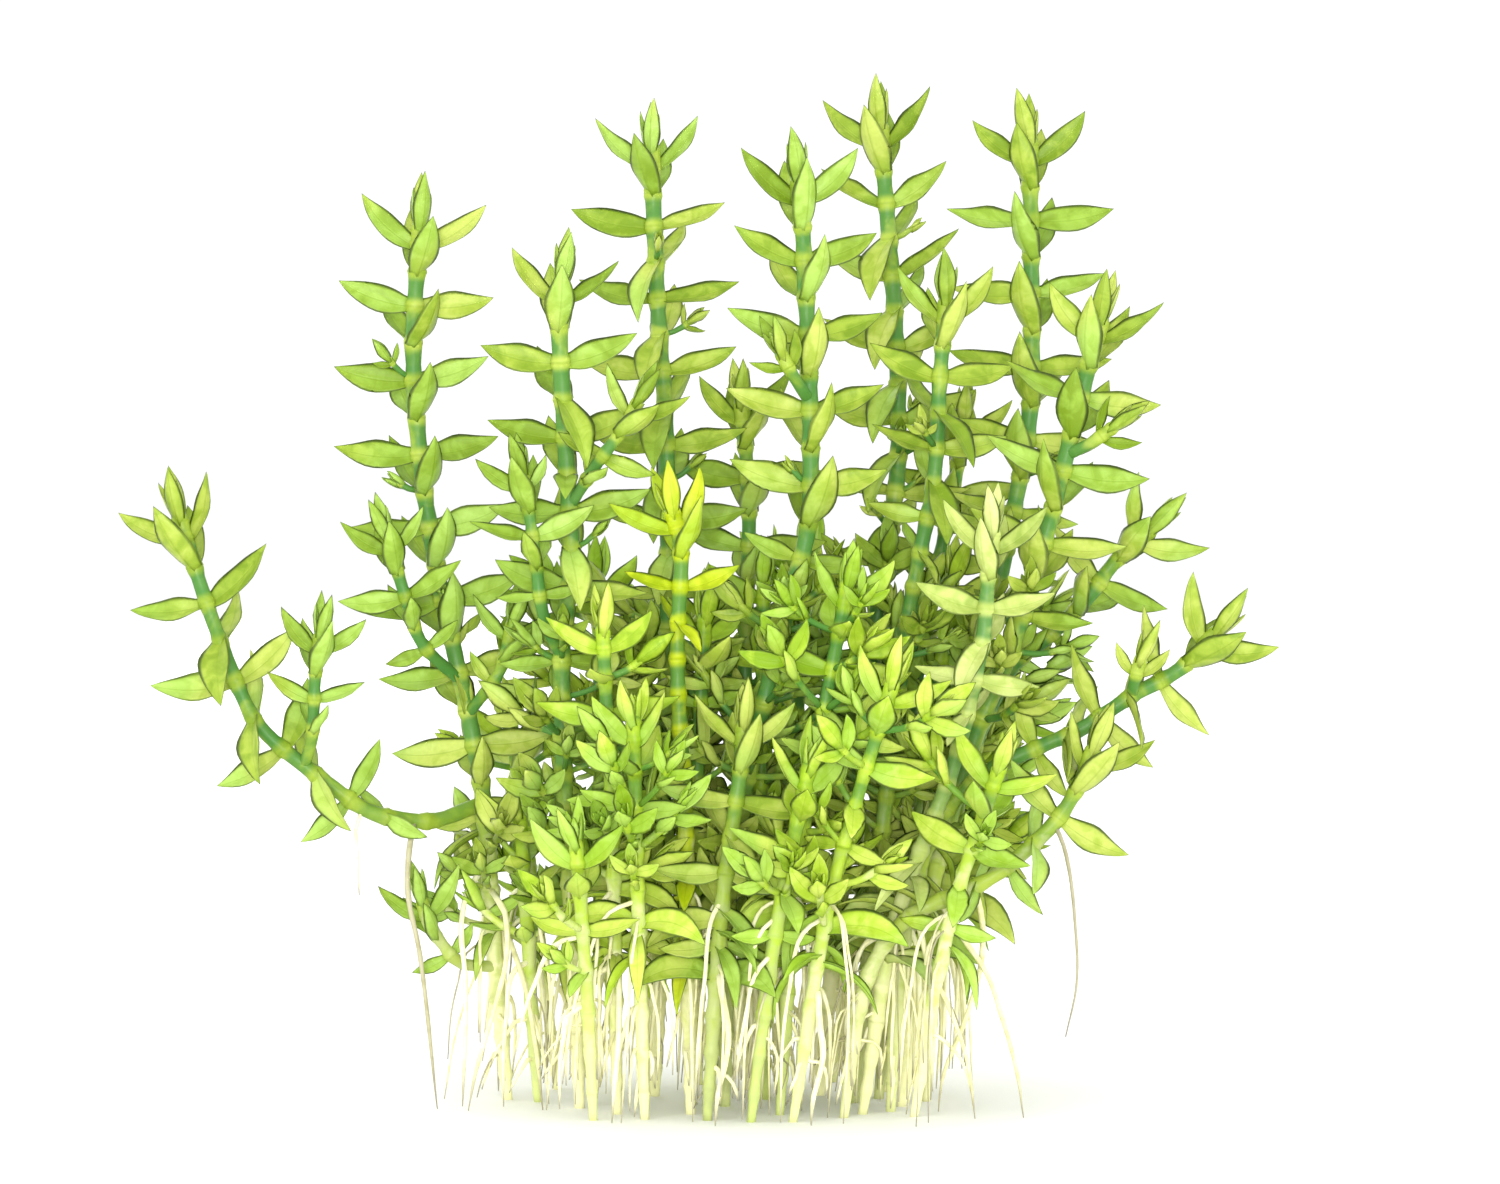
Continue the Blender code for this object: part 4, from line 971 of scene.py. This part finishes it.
def grow_sprig(host, course, distance, face, name, kind, crowd, draw):
    """A sprig out of a node: its shoot, its course, its start and its pairs. None where it has no room."""
    along = course.along(distance)
    axes = ring_axes(along, host.turn)
    foot = course.at(distance)
    start = thickness(host, course, distance) * SPRIG_SINK
    for _ in range(SPRIG_TRIES):
        out = Matrix.Rotation(math.radians(draw.uniform(*SPRIG_TURNS)), 3, along) @ out_of(axes, face)
        rise = math.radians(draw.uniform(*SPRIG_RISES))
        way = math.cos(rise) * out + math.sin(rise) * along
        length = draw.uniform(*SPRIG_LENGTHS[kind])
        bend = (way + Vector((0, 0, SPRIG_UPTURN))).normalized()
        middle = foot + way * length * 0.5
        route = (foot, middle, middle + bend * length * 0.5)
        sprig = Shoot(name, host.name, kind, pairs=3, upper=30, lower=4, front=34,
                      turn=draw.uniform(*SPRIG_TURNS), route=route)
        own = Course(catmull_rom(route, SPRIG_SAMPLE_STEP))
        body = tube(sprig, own, start + SPRIG_ROOT)
        if crowd.has_room(*body, name, None):
            crowd.add(*body, (name, None))
            tries = LEAF_TRIES[:SPRIG_LEAF_TRIES]
            return sprig, own, start, grow_leaves(sprig, own, start, crowd, SPRIG_CLEARANCE, tries)
    return None


def grow_sprigs(host, course, pairs, crowd, draw):
    """The sprigs of a stem, from its nodes below the crown down to where it is bare."""
    nodes = [p.distance for p in pairs]
    below = nodes[-1] - host.kind.gap
    while course.at(below).z > LOWEST_SPRIG_NODE:
        nodes.append(below)
        below -= host.kind.gap
    sprigs = []
    for k, distance in enumerate(nodes):
        height = course.at(distance).z
        if k < FIRST_SPRIG_PAIR or height < SPRIG_HEIGHTS[0]:
            continue
        for face in range(4):
            kind = TUFTED if draw.random() < TUFTED_SHARE else SPRIG
            if height > SPRIG_HEIGHTS[1]:
                kind = SPROUT
            if kind == SPROUT and k < FIRST_SPROUT_PAIR:
                continue
            if draw.random() > (SPROUT_SHARE if kind == SPROUT else SPRIG_SHARE):
                continue
            name = f"{host.name}_sprig_{len(sprigs)}"
            grown = grow_sprig(host, course, distance, face, name, kind, crowd, draw)
            if grown:
                sprigs.append(grown)
    return sprigs


def hang_leaf(host, course, distance, face, rises, length, turn, kind):
    """A leaf out of one face of a stem, on a foot narrower than the stem."""
    along = course.along(distance)
    axes = ring_axes(along, host.turn)
    width = thickness(host, course, distance)
    base = course.at(distance) + out_of(axes, face) * width / 2
    leaf = make_leaf(face, base, axes, along, rises, length, width * HANGING_FOOT, turn, kind.roll)
    return leaf._replace(width=length * kind.width_share)


def hanging_tries(host, course, draw):
    """Leaves to try on the lower part of a stem."""
    for _ in range(HANGING_TRIES):
        distance = draw.uniform(*(course.length * share for share in HANGING_ZONE))
        kind = BROAD if draw.random() < BROAD_SHARE else STRAP
        if kind.heights[0] < course.at(distance).z < kind.heights[1]:
            face = draw.randrange(4)
            rise = draw.uniform(*kind.rises)
            length = draw.uniform(*HANGING_LENGTHS)
            turn = draw.uniform(*HANGING_TURNS)
            yield hang_leaf(host, course, distance, face, (rise + HANGING_DROOP, rise), length, turn, kind)


def grow_foot_pair(pair, host, course, crowd):
    """The leaves of a pair at the foot that have room."""
    steps = [course.length * i / HEIGHT_STEPS for i in range(HEIGHT_STEPS)]
    distance = min(steps, key=lambda d: abs(course.at(d).z - pair.height))
    leaves = []
    for face, rise, way in ((3, pair.left_rise, 1), (1, pair.right_rise, -1)):
        rises = (rise + FOOT_DROOP, rise)
        tries = (hang_leaf(host, course, distance, face, rises, pair.length, way * turn, BROAD)
                 for turn in FOOT_TURNS)
        tag = (host.name, FIRST_HANGING + HANGING_COUNT + face)
        leaves.append(first_with_room(tries, SPRIG_CLEARANCE, crowd, tag))
    return [leaf for leaf in leaves if leaf]


def grow_extras(courses, pairs, crowd):
    """The sprigs and hanging leaves of every shoot, each where it has room."""
    sprigs = {shoot.name: [] for shoot in SHOOTS}
    hanging = {shoot.name: [] for shoot in SHOOTS}
    for pair in FOOT_PAIRS:
        host = next(shoot for shoot in SHOOTS if shoot.name == pair.host)
        hanging[host.name] = grow_foot_pair(pair, host, courses[host.name], crowd)
    for host in SHOOTS:
        if host.parent:
            continue
        draw = random.Random("sprigs " + host.name)
        course = courses[host.name]
        for number in range(HANGING_COUNT):
            tag = (host.name, FIRST_HANGING + number)
            leaf = first_with_room(hanging_tries(host, course, draw), SPRIG_CLEARANCE, crowd, tag)
            if leaf:
                hanging[host.name].append(leaf)
        if host.name not in BARE_SHOOTS:
            sprigs[host.name] = grow_sprigs(host, course, pairs[host.name], crowd, draw)
    return sprigs, hanging


def add_tuft(skin, shoot, course, tint, draw):
    """The small leaves that stand round the bud."""
    along = course.along(course.length)
    axes = ring_axes(along, shoot.turn)
    for faces, share, rises in TUFT_PAIRS:
        for face in faces:
            base = course.at(course.length) + out_of(axes, face) * shoot.kind.stem * TUFT_SPREAD
            length = shoot.kind.leaf * share * draw.uniform(*TUFT_LENGTH_JITTER)
            turn = draw.uniform(-TUFT_TURN, TUFT_TURN)
            leaf = make_leaf(face, base, axes, along, rises, length, TUFT_FOOT, turn, TUFT_ROLL)
            add_blade(skin, leaf, tint, draw)


def slim_leaf(leaf, share, tilt):
    """A crown's leaf is slimmer than those below it, and the one in front tilts to one side."""
    base, middle, tip = leaf.spine
    if leaf.face == 0:
        aside = leaf.across * (tip - base).length * tilt
        middle, tip = middle + aside * CROWN_MIDDLE_TILT, tip + aside
    return leaf._replace(spine=(base, middle, tip), width=leaf.width * share)


def leaf_tint(leaf, draw, lean=0.0):
    """Where on its palette a leaf lies: 0 is deep and 1 is light. A leaf low in the mass is painted lighter,
    as painted light that lifts the shade among the leaves there.
    """
    lit = (FRONT_TINT if leaf.face == 0 else SIDE_TINT) + lean
    # painted light: a leaf low in the mass is lifted on its palette against the shade that falls there
    lit += MASS_PAINTED_LIGHT if leaf.spine[0].z < MASS_TOP else 0.0
    return min(1.0, max(0.0, lit + draw.gauss(0, TINT_SPREAD)))


def dress_shoot(shoot, course, start, pairs, sprigs, hanging):
    """A stem with its crown and leaves, its sprigs with theirs, and its hanging leaves."""
    skin = Skin([], [], [], [])
    draw = random.Random("leaves " + shoot.name)
    nodes = [p.distance for p in pairs]
    while nodes[-1] - shoot.kind.gap > start + LOWEST_SWELLING:
        nodes.append(nodes[-1] - shoot.kind.gap)
    add_stem(skin, shoot, course, 0.0, nodes, draw.random(), BUD_HEIGHT, STEM_SIDES)
    tilt = random.Random("crown " + shoot.name).uniform(-CROWN_TILT, CROWN_TILT)
    for k, pair in enumerate(pairs):
        for leaf in pair.leaves:
            if k < len(CROWN_SLIMNESS):
                leaf = slim_leaf(leaf, CROWN_SLIMNESS[k], tilt)
            add_blade(skin, leaf, leaf_tint(leaf, draw), draw)
    add_tuft(skin, shoot, course, CROWN_TINT, draw)
    for sprig, own, own_start, own_pairs in sprigs:
        nodes = [p.distance for p in own_pairs]
        add_stem(skin, sprig, own, own_start, nodes, draw.random(), SPRIG_BUD, SPRIG_SIDES)
        lean = draw.uniform(*SPRIG_LEANS)
        for pair in own_pairs:
            for leaf in pair.leaves:
                add_blade(skin, leaf, leaf_tint(leaf, draw, lean), draw)
        add_tuft(skin, sprig, own, SPRIG_CROWN_TINT + lean, draw)
    for leaf in hanging:
        add_blade(skin, leaf, draw.uniform(*HANGING_TINTS), draw)
    return skin


def dress_root(root, course, start):
    """A strong root, from inside the stem that bears it."""
    skin = Skin([], [], [], [])
    draw = random.Random("root " + root.name)
    count = max(FEWEST_ROWS, round((course.length - start) / SAMPLE_STEP))
    inside = start * ROOT_SINK
    points = [course.at(inside + (course.length - inside) * i / count) for i in range(count + 1)]
    add_root(skin, points, root.kind.stem, root.thin, draw.random(), draw)
    return skin


def fine_roots(courses):
    """Fine roots from the lower parts of the rooted stems, in four pieces by the side that they stand on."""
    skins = {side: Skin([], [], [], []) for side in ("front_left", "front_right", "back_left", "back_right")}
    for host in SHOOTS:
        if host.parent:
            continue
        draw = random.Random("fine roots " + host.name)
        for _ in range(FINE_ROOTS_PER_STEM):
            top = courses[host.name].at(draw.uniform(*FINE_ROOT_HEIGHTS))
            angle = draw.uniform(0, math.tau)
            out = Vector((math.cos(angle), math.sin(angle), 0))
            reach = draw.uniform(*FINE_ROOT_REACH) * (FOOT_REACH_SHARE + top.z / FULL_REACH_RISE)
            drop = top.z - min(top.z - FINE_ROOT_DROP, draw.uniform(*FINE_ROOT_ENDS))
            drift = Vector((draw.uniform(*FINE_ROOT_DRIFT), 0, 0))
            route = [top] + [top + out * reach * far + drift * aside + Vector((0, 0, -drop * down))
                             for far, aside, down in FINE_ROOT_BENDS]
            tint = draw.random()
            wide = FINE_ROOT_WIDTHS[0] + (FINE_ROOT_WIDTHS[1] - FINE_ROOT_WIDTHS[0]) * tint
            end = top + out * reach
            side = "front" if end.y < CLUMP_MIDDLE[1] else "back"
            side += "_left" if end.x < CLUMP_MIDDLE[0] else "_right"
            points = catmull_rom(route, FINE_ROOT_SAMPLE_STEP)
            add_root(skins[side], points, wide, wide * FINE_ROOT_TAPER, tint, draw)
    return skins


class Painter:
    """A material's node tree, and shorthand for the nodes that the plant's materials share."""

    def __init__(self, name, roughness):
        self.material = bpy.data.materials.new(name)
        self.material.use_nodes = True
        self.tree = self.material.node_tree
        self.shader = self.tree.nodes["Principled BSDF"]
        self.shader.inputs["Roughness"].default_value = roughness
        self.shader.inputs["Specular IOR Level"].default_value = SHEEN
        self.place = self.add("ShaderNodeTexCoord").outputs["Object"]

    def feed(self, socket, value):
        """Links an output to the socket, or gives the socket a number or a colour of its own."""
        if isinstance(value, bpy.types.NodeSocket):
            self.tree.links.new(value, socket)
        else:
            socket.default_value = (*value, 1) if isinstance(value, tuple) else value

    def add(self, kind, inputs=None, **settings):
        node = self.tree.nodes.new(kind)
        for name, value in settings.items():
            setattr(node, name, value)
        for key, value in (inputs or {}).items():
            self.feed(node.inputs[key], value)
        return node

    def shade(self, name):
        return self.add("ShaderNodeAttribute", attribute_name=name).outputs["Fac"]

    def height(self):
        return self.add("ShaderNodeSeparateXYZ", {0: self.place}).outputs["Z"]

    def noise(self, scale, detail=3.0, distortion=0.0):
        inputs = {"Vector": self.place, "Scale": scale, "Detail": detail, "Distortion": distortion}
        return self.add("ShaderNodeTexNoise", inputs).outputs["Fac"]

    def math(self, operation, a, b, clamp=False):
        return self.add("ShaderNodeMath", {0: a, 1: b}, operation=operation, use_clamp=clamp).outputs[0]

    def span(self, value, low, high, to_low, to_high):
        """The value brought from one range to another along a smooth step."""
        inputs = {"Value": value, "From Min": low, "From Max": high, "To Min": to_low, "To Max": to_high}
        return self.add("ShaderNodeMapRange", inputs, interpolation_type="SMOOTHSTEP").outputs["Result"]

    def colours(self, value, palette, middle=0.5):
        """The value's colour on a palette that has its middle colour at the middle value."""
        node = self.add("ShaderNodeValToRGB", {"Fac": value})
        stops = node.color_ramp.elements
        stops[0].color = (*palette[0], 1)
        stops[1].color = (*palette[2], 1)
        stops.new(middle).color = (*palette[1], 1)
        return node.outputs["Color"]

    def mix(self, share, a, b):
        node = self.add("ShaderNodeMix", data_type="RGBA")
        sockets = {socket.identifier: socket for socket in (*node.inputs, *node.outputs)}
        for key, value in (("Factor_Float", share), ("A_Color", a), ("B_Color", b)):
            self.feed(sockets[key], value)
        return sockets["Result_Color"]

    def finish(self, colour, bump, strength):
        node = self.add("ShaderNodeBump", {"Strength": strength, "Distance": BUMP_DEPTH, "Height": bump})
        self.feed(self.shader.inputs["Base Color"], colour)
        self.feed(self.shader.inputs["Normal"], node.outputs["Normal"])
        return self.material


def leaf_material(slot, palette):
    """Mottled green with fresh patches, deeper at the midrib, the margin and the ends, with an inked edge."""
    paint = Painter("leaf " + slot, LEAF_ROUGHNESS)
    mottle = paint.noise(MOTTLE, distortion=LEAF_SWIRL)
    tint = paint.math("ADD", paint.shade("tint"), paint.span(mottle, *MOTTLED_LEAF), clamp=True)
    colour = paint.colours(tint, palette)
    fresh = paint.span(paint.noise(FRESH_PATCHES, detail=1.0), *FRESH_SPAN)
    colour = paint.mix(fresh, colour, paint.mix(tint, palette[0], FRESH))
    grain = paint.span(paint.noise(GRAIN, detail=1.0), *GRAIN_SPAN)
    edge = paint.shade("edge")
    rib = paint.span(edge, *RIB_SPAN)
    margin = paint.span(edge, *MARGIN_SPAN)
    run = paint.shade("run")
    ends = paint.math("ADD", paint.span(run, *BASE_SPAN), paint.span(run, *TIP_SPAN))
    ends = paint.math("MULTIPLY", ends, paint.span(paint.noise(END_PATCHES), *END_PATCH_SPAN))
    for share in (grain, rib, margin, ends):
        colour = paint.mix(share, colour, palette[0])
    gaps = paint.span(paint.noise(INK_GAPS), *INK_GAP_SPAN)
    colour = paint.mix(paint.math("MULTIPLY", paint.span(edge, *INK_SPAN), gaps), colour, INK)
    bump = paint.math("ADD", mottle, paint.math("MULTIPLY", rib, RIB_BUMP))
    return paint.finish(colour, bump, LEAF_BUMP)


def stem_material(slot, palette):
    """Green with teal between the nodes, and pale towards the foot."""
    paint = Painter("stem " + slot, STEM_ROUGHNESS)
    mottle = paint.noise(MOTTLE, distortion=STEM_SWIRL)
    own = paint.shade("tint")
    tint = paint.math("MULTIPLY", own, STEM_OWN_TINT)
    tint = paint.math("ADD", tint, paint.span(mottle, *MOTTLED), clamp=True)
    colour = paint.colours(tint, palette)
    edge = paint.shade("edge")
    high = paint.span(paint.height(), *TEAL_HEIGHT_SPAN)
    teal = paint.math("MULTIPLY", paint.span(edge, *TEAL_SPAN), high)
    patches = paint.span(paint.noise(TEAL_PATCHES, distortion=TEAL_SWIRL), *TEAL_PATCH_SPAN)
    colour = paint.mix(paint.math("MULTIPLY", teal, patches), colour, TEAL)
    colour = paint.mix(paint.span(edge, *NODE_SPAN), colour, palette[0])
    uneven = paint.span(mottle, *UNEVEN_SPAN)
    pale = paint.span(paint.math("ADD", paint.height(), uneven), *PALE_HEIGHT_SPAN)
    pale = paint.math("MULTIPLY", pale, paint.span(own, *PALE_OWN_SPAN))
    colour = paint.mix(pale, colour, STEM_FOOT)
    return paint.finish(colour, mottle, STEM_BUMP)


def root_material():
    """Cream, with the thinnest roots and every tip grey."""
    paint = Painter("root", ROOT_ROUGHNESS)
    mottle = paint.noise(ROOT_MOTTLE)
    own = paint.shade("tint")
    tint = paint.math("ADD", paint.math("MULTIPLY", own, ROOT_OWN_TINT), paint.span(mottle, *MOTTLED))
    colour = paint.colours(tint, ROOT_CREAMS, middle=ROOT_MIDDLE)
    colour = paint.mix(paint.span(own, *THIN_GREY_SPAN), colour, ROOT_GREY)
    colour = paint.mix(paint.span(paint.shade("run"), *TIP_GREY_SPAN), colour, ROOT_GREY)
    return paint.finish(colour, mottle, ROOT_BUMP)


def add_piece(name, skin, materials, shift):
    """Makes a piece in metres with its shades as attributes, and lets it ride on the plant."""
    mesh = bpy.data.meshes.new(name)
    mesh.from_pydata([tuple((p + shift) * MM) for p in skin.points], [], skin.faces)
    for material in materials:
        mesh.materials.append(material)
    mesh.polygons.foreach_set("material_index", skin.paints)
    for shade, values in zip(("tint", "edge", "run"), zip(*skin.shades)):
        mesh.attributes.new(shade, "FLOAT", "POINT").data.foreach_set("value", values)
    mesh.shade_smooth()
    piece = bpy.data.objects.new(name, mesh)
    bpy.context.scene.collection.objects.link(piece)
    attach(piece, "root")
    return piece


def solid_shift(courses, starts):
    """How far the frame has moved the layout to stand over the origin, read off one root's solid."""
    root = ROOTS[0]
    low = np.array(tube(root, courses[root.name], starts[root.name])[0]).min(0)
    return np.array(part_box(root.name)[0]) / MM - low


def set_paper():
    """The floor that the clump stands on, and the white all round it."""
    mesh = bpy.data.meshes.new("paper_floor")
    angles = [math.tau * i / FLOOR_SIDES for i in range(FLOOR_SIDES)]
    mesh.from_pydata([(FLOOR_RADIUS * math.cos(a), FLOOR_RADIUS * math.sin(a), 0) for a in angles], [],
                     [tuple(range(FLOOR_SIDES))])
    floor = bpy.data.objects.new("paper_floor", mesh)
    bpy.context.scene.collection.objects.link(floor)
    paper = bpy.data.materials.new("paper")
    paper.use_nodes = True
    shader = paper.node_tree.nodes["Principled BSDF"]
    shader.inputs["Base Color"].default_value = (PAPER_WHITE, PAPER_WHITE, PAPER_WHITE, 1)
    shader.inputs["Roughness"].default_value = PAPER_ROUGHNESS
    shader.inputs["Specular IOR Level"].default_value = PAPER_SHEEN
    mesh.materials.append(paper)
    world = bpy.data.worlds.new("soft white")
    world.use_nodes = True
    world.node_tree.nodes["Background"].inputs["Color"].default_value = (1, 1, 1, 1)
    world.node_tree.nodes["Background"].inputs["Strength"].default_value = WORLD_STRENGTH
    bpy.context.scene.world = world


def aim(data, place):
    """A light or a camera at the place, turned to the middle of the view."""
    thing = bpy.data.objects.new(data.name, data)
    thing.location = place
    thing.rotation_euler = (Vector(VIEW_CENTRE) - thing.location).to_track_quat("-Z", "Y").to_euler()
    bpy.context.scene.collection.objects.link(thing)
    return thing


def set_lights():
    for light in LIGHTS:
        lamp = bpy.data.lights.new(light.name, "AREA")
        lamp.size = light.size
        lamp.energy = light.power
        lamp.color = light.colour
        aim(lamp, light.place)


def set_camera():
    camera = bpy.data.cameras.new("camera")
    camera.sensor_width = SENSOR
    camera.lens = SENSOR * VIEW_DISTANCE / FRAME_WIDTH
    camera.clip_start = NEAREST
    rise = math.radians(VIEW_RISE)
    eye = Vector(VIEW_CENTRE) + VIEW_DISTANCE * Vector((0, -math.cos(rise), math.sin(rise)))
    bpy.context.scene.camera = aim(camera, eye)
    bpy.context.scene.view_settings.view_transform = "Standard"


def slot_of(name):
    if name.endswith("yellow"):
        return "yellow_green"
    if name.endswith("pale"):
        return "pale_green"
    # the bushy stems take the mass green, which is painted lighter to lift the shade among them
    return "deep_green" if name.startswith("bushy") else "leaf_green"


def main():
    courses, starts, pairs, crowd = grow_clump()
    shift = solid_shift(courses, starts)
    sprigs, hanging = grow_extras(courses, pairs, crowd)
    greens = {slot: (leaf_material(slot, palette), stem_material(slot, palette))
              for slot, palette in PALETTES.items()}
    cream = (root_material(),)
    for shoot in SHOOTS:
        skin = dress_shoot(shoot, *(table[shoot.name] for table in (courses, starts, pairs, sprigs, hanging)))
        slot = slot_of(shoot.name)
        piece = add_piece(shoot.name + "_leafed", skin, greens[slot], shift)
        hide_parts(shoot.name)
    for root in ROOTS:
        skin = dress_root(root, courses[root.name], starts[root.name])
        piece = add_piece(root.name + "_thread", skin, cream, shift)
        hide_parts(root.name)
    for side, skin in fine_roots(courses).items():
        add_piece("fine_roots_" + side, skin, cream, shift)
    set_paper()
    set_lights()
    set_camera()


main()
